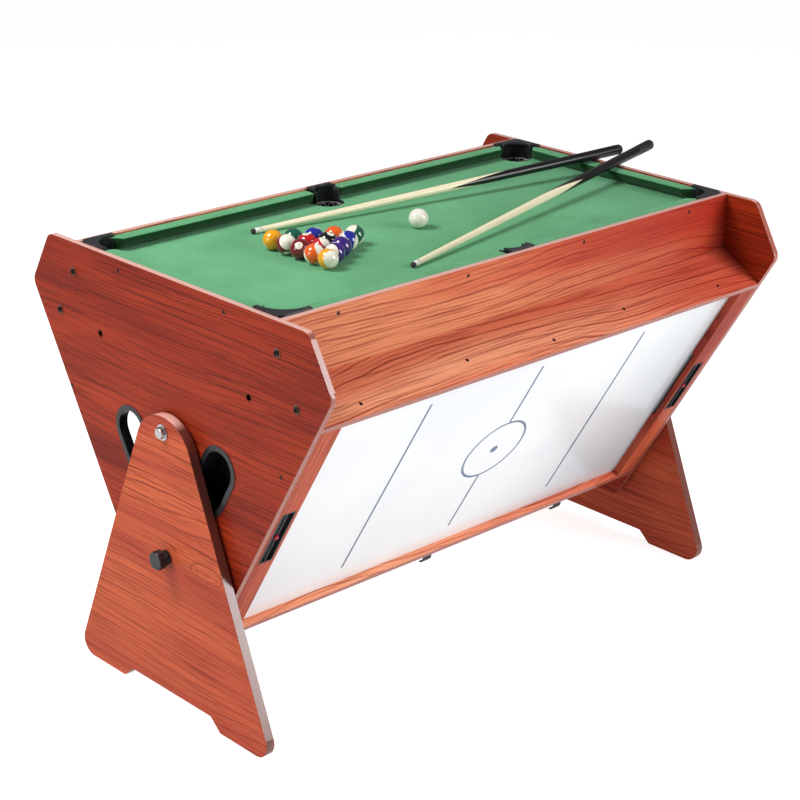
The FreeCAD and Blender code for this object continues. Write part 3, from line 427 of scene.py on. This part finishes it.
def football_print():
    """Green sheet with the usual white lines of a football pitch."""
    width, circle, spot = 4 * MM, 80 * MM, 5 * MM
    end_x, edge_y = 522 * MM, 270 * MM
    box_x, box_y, small_x, small_y = 380 * MM, 150 * MM, 470 * MM, 90 * MM
    stripes_per_metre = 7.0
    paint = Paint("pitch_sheet")
    x, y = face_places(paint, FOOTBALL)
    far_x, far_y = paint.math("ABSOLUTE", x), paint.math("ABSOLUTE", y)
    radius = from_centre(paint, x, y)

    def line_at(distance, place):
        return stroke(paint, paint.math("SUBTRACT", distance, place), width)

    def goal_box(from_x, half_y):
        """The three lines of the box in front of each goal."""
        front = both(paint, line_at(far_x, from_x), inside(paint, y, half_y))
        beyond = both(paint, paint.smooth(far_x, from_x - MM, from_x), inside(paint, x, end_x))
        sides = both(paint, line_at(far_y, half_y), beyond)
        return either(paint, front, sides)

    border = either(paint,
                    both(paint, line_at(far_y, edge_y), inside(paint, x, end_x)),
                    both(paint, line_at(far_x, end_x), inside(paint, y, edge_y)),
                    both(paint, stroke(paint, x, width), inside(paint, y, edge_y)))
    rings = either(paint, line_at(radius, circle), paint.smooth(radius, spot + 0.5 * MM, spot - 0.5 * MM))
    ink = either(paint, border, rings, goal_box(box_x, box_y), goal_box(small_x, small_y))
    mown = paint.math("FRACT", paint.scaled(x, stripes_per_metre))
    ground = paint.mix(paint.smooth(mown, 0.48, 0.52), tone(52, 128, 62), tone(66, 146, 74))
    speck = paint.noise(paint.place, 500.0, 3.0)
    ground = paint.mix(paint.scaled(speck, 0.35), ground, tone(34, 96, 46))
    return paint.done(Base_Color=paint.mix(paint.scaled(ink, 0.9), ground, tone(240, 244, 240)),
                      Roughness=paint.ramp(speck, (0.3, 0.35), (0.7, 0.45)))


# ---- balls and cues ----
BALL_RED, BALL_BLUE, BALL_YELLOW = tone(196, 18, 28), tone(30, 40, 150), tone(240, 165, 20)
BALL_PURPLE, BALL_ORANGE, BALL_GREEN = tone(62, 30, 120), tone(238, 98, 28), tone(12, 92, 70)
BALL_MAROON, BALL_BLACK, BALL_WHITE = tone(120, 16, 30), tone(16, 16, 20), tone(240, 236, 222)


def resin(name, colour, striped, numbered=True):
    """Polished resin: a full colour or a band round the ball's Z axis, and number discs on its X axis."""
    paint = Paint(name)
    direction = paint.vector("NORMALIZE", paint.place).outputs[0]
    cloud = paint.noise(paint.place, 120.0, 3.0)
    white = paint.mix(paint.smooth(cloud, 0.3, 0.7), BALL_WHITE, tone(232, 226, 206))
    darker = (*[0.6 * part for part in colour[:3]], 1.0)
    tinted = paint.mix(paint.scaled(cloud, 0.25), colour, darker)
    if striped:
        height = paint.math("ABSOLUTE", paint.dot(direction, (0, 0, 1)))
        tinted = paint.mix(paint.smooth(height, 0.55, 0.57), tinted, white)
    if numbered:
        side = paint.math("ABSOLUTE", paint.dot(direction, (1, 0, 0)))
        tinted = paint.mix(paint.smooth(side, 0.925, 0.932), tinted, white)
    return paint.done(Base_Color=tinted, Roughness=paint.ramp(cloud, (0.3, 0.06), (0.7, 0.1)),
                      Coat_Weight=0.6, Coat_Roughness=0.04)


def ink():
    paint = Paint("number_ink")
    speck = paint.noise(paint.place, 700.0, 2.0)
    return paint.done(Base_Color=paint.mix(speck, tone(18, 18, 20), tone(34, 34, 38)), Roughness=0.25)


def cue_finish(number, pale_side):
    """Varnished maple that ends in two long points in a black lacquered butt; local Z starts at the tip.

    pale_side is where round the cue the points are, in degrees.
    """
    first, last = 462 * MM, 606 * MM
    paint = Paint("cue_%d_finish" % number)
    separate = paint.tree.nodes.new("ShaderNodeSeparateXYZ")
    paint.put(separate.inputs[0], paint.place)
    angle = paint.math("ARCTAN2", separate.outputs[1], separate.outputs[0])
    turns = paint.math("FRACT", paint.scaled(angle, 1 / math.pi, 1.5 - pale_side / 180))
    point = paint.math("ABSOLUTE", paint.scaled(turns, 2.0, -1.0))
    share = paint.scaled(separate.outputs[2], 1 / (last - first), -first / (last - first))
    edge = paint.math("SUBTRACT", paint.math("SUBTRACT", 1.0, point), share)
    wood = paint.smooth(edge, -0.01, 0.02)
    veneer = paint.smooth(paint.math("ABSOLUTE", paint.scaled(edge, 1.0, 0.05)), 0.03, 0.02)
    grain = paint.noise(paint.vector("MULTIPLY", paint.place, (420.0, 420.0, 9.0)).outputs[0], 1.0, 3.0, 0.6)
    fleck = paint.noise(paint.vector("MULTIPLY", paint.place, (900.0, 900.0, 120.0)).outputs[0], 1.0, 2.0)
    pale = paint.mix(paint.smooth(grain, 0.3, 0.7), tone(250, 240, 210), tone(238, 222, 182))
    pale = paint.mix(paint.scaled(paint.smooth(fleck, 0.6, 0.75), 0.25), pale, tone(200, 168, 120))
    dark = paint.mix(fleck, tone(9, 9, 11), tone(20, 19, 21))
    colour = paint.mix(wood, paint.mix(veneer, dark, tone(84, 54, 36)), pale)
    return paint.done(Base_Color=colour, Roughness=0.3, Specular_IOR_Level=0.35,
                      Coat_Weight=0.22, Coat_Roughness=0.06)


# ---- mesh helpers ----
SAME_PLACE = 1e-6


def add(name, mesh, material, body, place=Matrix()):
    """A new piece on a CAD body, with the given material."""
    piece = bpy.data.objects.new(name, mesh)
    bpy.context.scene.collection.objects.link(piece)
    piece.data.materials.clear()
    piece.data.materials.append(material)
    piece.matrix_world = place
    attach(piece, body)
    return piece


def smooth_faces(mesh):
    mesh.polygons.foreach_set("use_smooth", [True] * len(mesh.polygons))


def merged_copy(node):
    """A node's mesh as a bmesh with its split corners joined."""
    work = bmesh.new()
    work.from_mesh(NODES[node].data)
    bmesh.ops.remove_doubles(work, verts=work.verts, dist=SAME_PLACE)
    return work


def islands(node):
    """The lowest and highest corner of each separate solid in a node, in order of place."""
    work = merged_copy(node)
    left, boxes = set(work.verts), []
    while left:
        reached = [left.pop()]
        places = []
        while reached:
            vertex = reached.pop()
            places.append(vertex.co.copy())
            for edge in vertex.link_edges:
                other = edge.other_vert(vertex)
                if other in left:
                    left.remove(other)
                    reached.append(other)
        low = Vector([min(p[i] for p in places) for i in range(3)])
        high = Vector([max(p[i] for p in places) for i in range(3)])
        boxes.append((low, high))
    work.free()
    return sorted(boxes, key=lambda pair: (round(pair[0].x, 4), round(pair[0].y, 4)))


def lathe(profile, turns=32):
    """A mesh turned about local Z from (z, radius) points."""
    work = bmesh.new()
    rings = []
    for z, radius in profile:
        if radius < SAME_PLACE:
            rings.append([work.verts.new((0, 0, z))])
        else:
            angles = [2 * math.pi * k / turns for k in range(turns)]
            rings.append([work.verts.new((radius * math.cos(a), radius * math.sin(a), z)) for a in angles])
    for lower, upper in zip(rings, rings[1:]):
        for k in range(turns):
            after = (k + 1) % turns
            corners = [lower[k % len(lower)], lower[after % len(lower)], upper[after % len(upper)],
                       upper[k % len(upper)]]
            work.faces.new(list(dict.fromkeys(corners)))
    mesh = bpy.data.meshes.new("lathe")
    work.to_mesh(mesh)
    work.free()
    smooth_faces(mesh)
    return mesh


# ---- materials on CAD nodes ----
def dress(material, *names):
    """Give CAD nodes a material in place of their own."""
    for name in names:
        NODES[name].data.materials.clear()
        NODES[name].data.materials.append(material)


def dress_wood():
    dress(leg_wood(), "leg_left", "leg_right")
    dress(panel_wood(), "end_panel_left", "end_panel_right", "football_end_walls")
    pool_rails = rail_wood(POOL, "pool", 11.0, tone(222, 138, 96), tone(202, 92, 58), tone(166, 48, 32))
    # Lighter copies of the rail colours for the hockey rails: painted light on the shelf, which the apron
    # shades from the top lamp.
    hockey_rails = rail_wood(HOCKEY, "hockey", 23.0, tone(250, 170, 130), tone(236, 134, 98),
                             tone(206, 84, 62))
    football_rails = rail_wood(FOOTBALL, "football", 31.0, tone(220, 126, 82), tone(200, 90, 58),
                               tone(186, 72, 50))
    dress(pool_rails, "pool_rail_front", "pool_rail_back")
    dress(hockey_rails, "hockey_rail_upper", "hockey_rail_lower")
    dress(football_rails, "football_rail_upper", "football_rail_lower")
    for face, turn, seed in (("hockey", HOCKEY, 41.0), ("football", FOOTBALL, 47.0)):
        wood = end_rail_wood(turn, face, seed)
        dress(wood, *["%s_end_rail_%s" % (face, side) for side in SIDES])
    for face, turn in FACES:
        dress(fibreboard(face, turn), face + "_bed")
    dress(softwood(), "fold_cleats", "bed_battens")


def dress_fittings():
    dress(hockey_print(), "hockey_sheet")
    dress(football_print(), "football_sheet")
    dress(BLACK, "corner_pockets", "side_pockets", "score_trays", "goal_cups", "goal_rings", "cue_clips",
          "lock_knob_left", "lock_knob_right")
    dress(STEEL, "pivot_bolts", "pivot_nuts", "lock_pin_left", "lock_pin_right")
    dress(metal("score_rod_steel", tone(92, 92, 96), 0.35, tone(70, 70, 72)), "score_rods")
    dress(DARK_STEEL, "lock_guides", "rail_bolts", "panel_screws", "board_screws")
    dress(metal("bronzed_steel", tone(120, 52, 34), 0.5, tone(92, 40, 28)), "index_bushes")
    dress(plastic("brown_plastic", tone(120, 66, 48), tone(98, 52, 38), 0.45), "bolt_rings")
    dress(plastic("nylon", tone(224, 222, 212), tone(208, 204, 192), 0.5), "pivot_bushes")
    dress(plastic("red_plastic", tone(196, 40, 60), tone(168, 26, 44), 0.3),
          *["%s_marker_%s" % (face, side) for face in ("hockey", "football") for side in SIDES])


BLACK = plastic("black_plastic", tone(25, 26, 30), tone(35, 36, 41), 0.3, 0.00012)
RUBBER = plastic("black_rubber", tone(17, 17, 19), tone(26, 26, 28), 0.5, 0.0002)
STEEL = metal("bright_steel", tone(206, 206, 208), 0.28, tone(170, 170, 168))
DARK_STEEL = metal("dark_steel", tone(44, 40, 38), 0.45, tone(70, 62, 56))
# the last colour of each cloth darkens its sides that hang down: painted shade, partly nap
BED_FELT = felt("green_cloth", tone(96, 168, 120), tone(84, 154, 106), tone(128, 140, 128))
CUSHION_FELT = felt("cushion_cloth", tone(86, 158, 110), tone(76, 144, 96), tone(66, 104, 70))
CORD = cord()


def soften_boards():
    """Tiny rounded edges on the boards and plastic covers, so that they catch the light."""
    leg_edge, panel_edge, rail_edge, cover_edge = 1.6 * MM, 1.4 * MM, 0.8 * MM, 0.7 * MM
    widths = {"leg_left": leg_edge, "leg_right": leg_edge,
              "end_panel_left": panel_edge, "end_panel_right": panel_edge,
              "corner_pockets": cover_edge, "side_pockets": cover_edge}
    for name in NODES:
        if "_rail_" in name:
            widths[name] = rail_edge
    for name, width in widths.items():
        weld = NODES[name].modifiers.new("weld", "WELD")
        weld.merge_threshold = 1e-5
        bevel = NODES[name].modifiers.new("round", "BEVEL")
        bevel.width = width
        bevel.segments = 2
        bevel.limit_method = "ANGLE"
        bevel.angle_limit = math.radians(40)
        bevel.harden_normals = False


# ---- pool cloth ----
def pool_cloth():
    """The bed cloth: a dense sheet whose top has faint unevenness and turns down at the pockets."""
    step, unevenness, top_layer = 16 * MM, 0.35 * MM, 1e-5
    work = merged_copy("pool_cloth")
    for axis, low, high in ((Vector((1, 0, 0)), CLOTH_LOW.x, CLOTH_HIGH.x),
                            (Vector((0, 1, 0)), CLOTH_LOW.y, CLOTH_HIGH.y)):
        for k in range(1, int((high - low) / step)):
            everything = work.verts[:] + work.edges[:] + work.faces[:]
            bmesh.ops.bisect_plane(work, geom=everything, dist=SAME_PLACE, plane_co=axis * (low + k * step),
                                   plane_no=axis)
    top = CLOTH_HIGH.z - top_layer
    for vertex in work.verts:
        if vertex.co.z > top:
            fine = noise.noise(vertex.co * 24.0)
            broad = noise.noise(vertex.co * 5.0 + Vector((3, 7, 1)))
            vertex.co.z -= unevenness * (0.5 + 0.5 * max(-1.0, min(1.0, fine + broad)))
    mesh = bpy.data.meshes.new("pool_cloth_sheet")
    work.to_mesh(mesh)
    work.free()
    piece = add("pool_cloth_sheet", mesh, BED_FELT, "cabinet")
    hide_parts("pool_cloth")


# ---- cushions ----
CUSHIONS = ("cushion_front_left", "cushion_front_right", "cushion_back_left", "cushion_back_right",
            "cushion_end_left", "cushion_end_right")
VOXEL = 2.6 * MM
SHRINK = 0.5 * MM
GLUED_BAND = 5 * MM
PRESSURE = 4.0
CLOTH_FRAMES = 20
SWELL_CAP = 0.8 * MM


def baked(piece):
    """The piece's mesh with its modifiers applied."""
    graph = bpy.context.evaluated_depsgraph_get()
    return bpy.data.meshes.new_from_object(piece.evaluated_get(graph))


def cushion_blank(node):
    """An even mesh of a cushion, slightly smaller than the CAD solid."""
    work = merged_copy(node)
    mesh = bpy.data.meshes.new(node + "_cover")
    work.to_mesh(mesh)
    work.free()
    piece = bpy.data.objects.new(node + "_cover", mesh)
    bpy.context.scene.collection.objects.link(piece)
    shrink = piece.modifiers.new("shrink", "DISPLACE")
    shrink.strength = -SHRINK
    shrink.mid_level = 0.0
    remesh = piece.modifiers.new("even", "REMESH")
    remesh.mode = "VOXEL"
    remesh.voxel_size = VOXEL
    piece.data = baked(piece)
    piece.modifiers.clear()
    return piece


def pin_back(piece, node):
    """A vertex group that holds the sides glued to the rail and the base still."""
    low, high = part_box(node)
    middle = (low + high) / 2
    toward = Vector((0, 0, 0))
    if "end" in node:
        toward.x = 1 if middle.x > PIVOT.x else -1
    else:
        toward.y = 1 if middle.y > 0 else -1
    group = piece.vertex_groups.new(name="glued")
    limit = abs(toward.dot(high - low)) / 2 - GLUED_BAND
    for vertex in piece.data.vertices:
        back = toward.dot(vertex.co - middle) > limit
        base = vertex.co.z < low.z + GLUED_BAND
        if back or base:
            group.add([vertex.index], 1.0, "REPLACE")


def inflate(pieces):
    """Pressure pads the free side of every cushion at once."""
    for piece in pieces:
        cloth = piece.modifiers.new("pad", "CLOTH")
        cloth.settings.use_pressure = True
        cloth.settings.uniform_pressure_force = PRESSURE
        cloth.settings.vertex_group_mass = "glued"
        cloth.settings.effector_weights.gravity = 0.0
        cloth.settings.quality = 5
        cloth.point_cache.frame_end = CLOTH_FRAMES
    for number in range(1, CLOTH_FRAMES + 1):
        bpy.context.scene.frame_set(number)
    for piece in pieces:
        start = [vertex.co.copy() for vertex in piece.data.vertices]
        padded = baked(piece)
        for vertex, place in zip(padded.vertices, start):
            travel = vertex.co - place
            if travel.length > SWELL_CAP:
                vertex.co = place + travel.normalized() * SWELL_CAP
        piece.modifiers.clear()
        piece.data = padded
    bpy.context.scene.frame_set(1)


def keep_in(piece, node):
    """Nothing stands proud of the CAD solid's box."""
    low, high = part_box(node)
    for vertex in piece.data.vertices:
        vertex.co = Vector([min(max(c, a), b) for c, a, b in zip(vertex.co, low, high)])


def cushions():
    made = {node: cushion_blank(node) for node in CUSHIONS}
    for node, piece in made.items():
        pin_back(piece, node)
    inflate(list(made.values()))
    for node, piece in made.items():
        keep_in(piece, node)
        smooth_faces(piece.data)
        piece.data.materials.clear()
        piece.data.materials.append(CUSHION_FELT)
        fine = piece.modifiers.new("fine", "SUBSURF")
        fine.levels = fine.render_levels = 1
        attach(piece, "cabinet")
        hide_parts(node)


# ---- pocket nets ----
def cord_curve(name, paths, thickness):
    """One curve object with a round cord along each path."""
    curve = bpy.data.curves.new(name, "CURVE")
    curve.dimensions = "3D"
    curve.bevel_depth = thickness / 2
    curve.bevel_resolution = 2
    curve.resolution_u = 3
    for path in paths:
        spline = curve.splines.new("NURBS")
        spline.points.add(len(path) - 1)
        for point, place in zip(spline.points, path):
            point.co = (*place, 1.0)
        spline.order_u = 3
        spline.use_endpoint_u = True
    return curve


def net_width(share):
    """How wide a net is at a share of its depth, next to its rim: it narrows slowly, then closes below."""
    slow_until, slow_taper, closing = 0.8, 0.28, 0.8
    if share < slow_until:
        return 1 - slow_taper * share
    waist = 1 - slow_taper * slow_until
    return waist * (1 - (share - slow_until) / (1 - slow_until) * closing)


def net_paths(centre, top, bottom, radius):
    """Knotted diamonds: cords lean one way and the other, half a mesh per row, and meet in a ring below."""
    cords, rows = 10, 6
    full_depth, ring_share = 0.85, 0.2
    paths = []
    for lean in (-1, 1):
        for k in range(cords):
            path = []
            for row in range(2 * rows + 1):
                share = row / (2 * rows)
                wide = radius * net_width(share)
                turn = 2 * math.pi * (k + lean * row / 4) / cords
                z = top + (bottom - top) * min(1.0, share / full_depth)
                path.append((centre.x + wide * math.cos(turn), centre.y + wide * math.sin(turn), z))
            paths.append(path)
    loops = 24
    for height, wide in ((top, radius), (bottom, radius * ring_share)):
        ring = [2 * math.pi * k / loops for k in range(loops + 1)]
        paths.append([(centre.x + wide * math.cos(a), centre.y + wide * math.sin(a), height) for a in ring])
    return paths


def nets():
    """One net inside each solid of the CAD nets, a little clear of its walls."""
    thickness, beside, above, below = 1.7 * MM, 1.6 * MM, 1.2 * MM, 2 * MM
    for number, (low, high) in enumerate(islands("pocket_nets"), start=1):
        centre = (low + high) / 2
        radius = (high.x - low.x) / 2 - beside
        paths = net_paths(centre, high.z - above, low.z + below, radius)
        curve = cord_curve("pocket_net_%d" % number, paths, thickness)
        piece = add("pocket_net_%d" % number, curve, CORD, "cabinet")
        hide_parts("pocket_nets")


# ---- balls ----
def ball_mesh(radius):
    work = bmesh.new()
    bmesh.ops.create_icosphere(work, subdivisions=5, radius=radius)
    mesh = bpy.data.meshes.new("ball")
    work.to_mesh(mesh)
    work.free()
    smooth_faces(mesh)
    return mesh


def number_mesh(text, radius):
    """A number's outline, filled and laid on the ball round its +X axis."""
    size, proud = 7.5 * MM, 0.05 * MM
    curve = bpy.data.curves.new("number", "FONT")
    curve.body = text
    curve.size = size
    curve.align_x = "CENTER"
    curve.align_y = "CENTER"
    holder = bpy.data.objects.new("number", curve)
    bpy.context.scene.collection.objects.link(holder)
    flat = baked(holder)
    bpy.data.objects.remove(holder)
    work = bmesh.new()
    work.from_mesh(flat)
    bmesh.ops.triangulate(work, faces=work.faces)
    bmesh.ops.subdivide_edges(work, edges=work.edges, cuts=2, use_grid_fill=True)
    for vertex in work.verts:
        vertex.co = Vector((radius, vertex.co.x, vertex.co.y)).normalized() * (radius + proud)
    mesh = bpy.data.meshes.new("number_" + text)
    work.to_mesh(mesh)
    work.free()
    return mesh


# from the apex row to the base row, each row from -Y to +Y: number, striped, colour, and how far to the
# right, up and towards the camera its number (or a stripe's white cap) looks
RACK = (
    (14, True, BALL_GREEN, (-0.6, 0.5, 0.4)),
    (10, True, BALL_BLUE, (0.95, -0.2, -0.1)), (5, False, BALL_ORANGE, (0.9, 0.4, 0.1)),
    (4, False, BALL_PURPLE, (0.5, 0.8, 0.1)), (8, False, BALL_BLACK, (0.3, 0.75, 0.5)),
    (2, False, BALL_BLUE, (0.3, 0.95, 0.1)),
    (12, True, BALL_PURPLE, (-0.5, -0.1, 0.7)), (11, True, BALL_RED, (0.7, 0.6, 0.3)),
    (3, False, BALL_RED, (-0.1, 0.85, 0.4)), (6, False, BALL_GREEN, (0.9, -0.3, 0.1)),
    (9, True, BALL_YELLOW, (0.5, -0.15, 0.8)), (13, True, BALL_ORANGE, (0.75, 0.35, 0.3)),
    (7, False, BALL_MAROON, (-0.1, 0.25, 0.95)), (15, True, BALL_MAROON, (0.25, 0.3, 0.9)),
    (1, False, BALL_YELLOW, (-0.8, -0.6, 0.05)),
)
VIEW_PLACE = Vector((-2.5825, -2.611, 1.887))
VIEW_AIM = Vector((0.6244, 0.6782, -0.3875)).normalized()
VIEW_RIGHT = VIEW_AIM.cross(Vector((0, 0, 1))).normalized()
VIEW_UP = VIEW_RIGHT.cross(VIEW_AIM)


def ball_turn(striped, look):
    """The rotation that points a ball's number, or a striped ball's pole, in the look direction."""
    aim = (VIEW_RIGHT * look[0] + VIEW_UP * look[1] - VIEW_AIM * look[2]).normalized()
    side = VIEW_UP.cross(aim).normalized()
    columns = (aim.cross(side), side, aim) if striped else (aim, side, aim.cross(side))
    return Matrix(columns).transposed().to_4x4()


def rack_order(boxes):
    """Ball centres from the apex (largest x) to the base, each row from -Y to +Y."""
    centres = [(low + high) / 2 for low, high in boxes]
    return sorted(centres, key=lambda c: (-round(c.x, 3), c.y))


def balls():
    low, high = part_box("cue_ball")
    radius = (high.x - low.x) / 2
    number_ink = ink()
    shape = ball_mesh(radius)
    white = resin("ball_white", BALL_WHITE, striped=False, numbered=False)
    place = Matrix.Translation((low + high) / 2)
    cue_ball = add("cue_ball_resin", shape.copy(), white, "cue_ball", place)
    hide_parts("cue_ball")
    for centre, (number, striped, colour, look) in zip(rack_order(islands("racked_balls")), RACK):
        material = resin("ball_%d" % number, colour, striped)
        place = Matrix.Translation(centre) @ ball_turn(striped, look)
        parts = (("ball_%d" % number, shape.copy(), material),
                 ("number_%d" % number, number_mesh(str(number), radius), number_ink))
        for name, mesh, finish in parts:
            piece = add(name, mesh, finish, "racked_balls", place)
            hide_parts("racked_balls")


# ---- cues ----
LEATHER = plastic("tip_leather", tone(44, 40, 44), tone(62, 54, 54), 0.75, 0.0004)
FERRULE = plastic("ferrule", tone(240, 238, 230), tone(228, 224, 212), 0.35)
TIP_RADIUS, BUTT_RADIUS = 5.2 * MM, 10.9 * MM
LEATHER_TOP, FERRULE_TOP = 8 * MM, 23 * MM
BUMPER_LENGTH = 14 * MM


def axis_of(node, toward):
    """The middles of a cone's two ends; the first is the one further from the toward point."""
    end_band = 4 * MM
    places = [vertex.co.copy() for vertex in NODES[node].data.vertices]
    middle = sum(places, Vector()) / len(places)
    direction = (max(places, key=lambda p: (p - middle).length) - middle).normalized()
    for _ in range(3):
        along = [(p - middle).dot(direction) for p in places]
        low, high = min(along), max(along)
        starts = [p for p, a in zip(places, along) if a < low + end_band]
        ends = [p for p, a in zip(places, along) if a > high - end_band]
        first = sum(starts, Vector()) / len(starts)
        last = sum(ends, Vector()) / len(ends)
        direction = (last - first).normalized()
    first = middle + direction * min((p - middle).dot(direction) for p in places)
    last = middle + direction * max((p - middle).dot(direction) for p in places)
    return (first, last) if (first - toward).length > (last - toward).length else (last, first)


def cue(number, pale_side, sleeve):
    """Tip, ferrule, shaft, butt and bumper, turned about the line through the CAD cue.

    A sleeve is a rubber grip of that length ahead of the bumper, or 0 for none.
    """
    shaft_node, butt_node = "cue_%d_shaft" % number, "cue_%d_butt" % number
    body = "cue_%d" % number
    shaft_low, shaft_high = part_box(shaft_node)
    butt_low, butt_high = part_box(butt_node)
    tip, joint = axis_of(shaft_node, (butt_low + butt_high) / 2)
    end, _ = axis_of(butt_node, (shaft_low + shaft_high) / 2)
    length, joint_z = (end - tip).length, (joint - tip).length
    direction = (end - tip).normalized()
    place = Matrix.Translation(tip) @ direction.to_track_quat("Z", "Y").to_matrix().to_4x4()
    finish = cue_finish(number, pale_side)

    def radius(z):
        return TIP_RADIUS + (BUTT_RADIUS - TIP_RADIUS) * z / length

    def lay(name, profile, material, node):
        piece = add("%s_%s" % (body, name), lathe(profile), material, body, place)
        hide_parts(node)

    def tapered(z0, z1, steps=12):
        heights = [z0 + (z1 - z0) * k / steps for k in range(steps + 1)]
        return [(z, radius(z)) for z in heights]

    bumper_z = length - BUMPER_LENGTH
    sleeve_z = bumper_z - sleeve
    leather = [(0.2 * MM, 0), (0.6 * MM, 2.6 * MM), (2.2 * MM, 4.4 * MM), (4 * MM, 5.1 * MM),
               (LEATHER_TOP, 5.1 * MM), (LEATHER_TOP, 0)]
    ferrule = [(LEATHER_TOP, 0)] + tapered(LEATHER_TOP, FERRULE_TOP, 2) + [(FERRULE_TOP, 0)]
    lay("tip", leather, LEATHER, shaft_node)
    lay("ferrule", ferrule, FERRULE, shaft_node)
    lay("shaft", tapered(FERRULE_TOP, joint_z), finish, shaft_node)
    lay("butt", tapered(joint_z, sleeve_z), finish, butt_node)
    if sleeve:
        thick = radius(sleeve_z) - 0.1 * MM
        grip = [(sleeve_z, thick), (sleeve_z + MM, thick + 0.3 * MM), (bumper_z, BUTT_RADIUS - 0.1 * MM)]
        lay("sleeve", grip, RUBBER, butt_node)
    # how far along the bumper, and how far inside the butt's radius
    steps = ((0.0, 0.3), (8.0, 0.2), (12.0, 2.0), (13.4, 5.0))
    bumper = [(bumper_z + along * MM, BUTT_RADIUS - inward * MM) for along, inward in steps]
    closed = [(bumper_z, 0)] + bumper + [(bumper_z + 13.6 * MM, 0)]
    lay("bumper", closed, RUBBER, butt_node)


# ---- studio ----
FLOOR_HALF, FLOOR_DROP = 30.0, 0.5 * MM
FLOOR_GLOW, FLOOR_EXTRA = 0.32, 0.5
WORLD_LIGHT = 0.2
WHITE = (1.0, 1.0, 1.0, 1.0)
LAMP_AIM = Vector((0, 0, 0.5))
# name, place, width in metres and power in watts
LAMPS = (("key", (1.6, -3.6, 2.4), 1.8, 88.0), ("low", (1.95, -3.35, 0.95), 1.2, 42.0),
         ("top", (-1.7, 0.9, 3.0), 1.1, 74.0), ("fill", (-4.2, 0.8, 1.6), 2.0, 52.0))


def floor():
    """A pale floor that glows a little, and more where the camera sees it."""
    work = bmesh.new()
    bmesh.ops.create_grid(work, x_segments=1, y_segments=1, size=FLOOR_HALF)
    mesh = bpy.data.meshes.new("floor")
    work.to_mesh(mesh)
    work.free()
    ground = bpy.data.objects.new("floor", mesh)
    paint = Paint("studio_floor")
    cloud = paint.noise(paint.place, 0.8, 2.0)
    shade = paint.mix(cloud, tone(206, 206, 206), tone(212, 212, 212))
    seen = paint.tree.nodes.new("ShaderNodeLightPath").outputs["Is Camera Ray"]
    mesh.materials.append(paint.done(Base_Color=shade, Roughness=0.9, Specular_IOR_Level=0.1,
                                     Emission_Color=WHITE,
                                     Emission_Strength=paint.scaled(seen, FLOOR_EXTRA, FLOOR_GLOW)))
    bpy.context.scene.collection.objects.link(ground)
    ground.location.z = -FLOOR_DROP


def lights():
    """Soft light, mostly from the front right and from above."""
    world = bpy.data.worlds.new("studio")
    world.use_nodes = True
    background = world.node_tree.nodes["Background"]
    background.inputs["Color"].default_value = WHITE
    background.inputs["Strength"].default_value = WORLD_LIGHT
    bpy.context.scene.world = world
    for name, place, size, power in LAMPS:
        light = bpy.data.lights.new(name, "AREA")
        light.size = size
        light.energy = power
        lamp = bpy.data.objects.new(name, light)
        lamp.location = place
        aim = LAMP_AIM - Vector(place)
        lamp.rotation_euler = aim.to_track_quat("-Z", "Y").to_euler()
        bpy.context.scene.collection.objects.link(lamp)


def camera():
    """A long lens from the front left and above, with the table a little off its axis."""
    lens = bpy.data.cameras.new("camera")
    lens.lens = 89.37
    lens.sensor_width = 36.0
    lens.shift_x = 0.0499
    lens.shift_y = 0.0542
    roll = Matrix.Rotation(math.radians(0.5), 4, "Z")
    aim = VIEW_AIM.to_track_quat("-Z", "Y").to_matrix().to_4x4()
    view = bpy.data.objects.new("camera", lens)
    view.matrix_world = Matrix.Translation(VIEW_PLACE) @ aim @ roll
    bpy.context.scene.collection.objects.link(view)
    bpy.context.scene.camera = view


dress_wood()
dress_fittings()
soften_boards()
pool_cloth()
cushions()
nets()
balls()
cue(1, pale_side=90, sleeve=0)
cue(2, pale_side=-25, sleeve=50 * MM)
floor()
lights()
camera()
bpy.context.scene.view_settings.view_transform = "Standard"
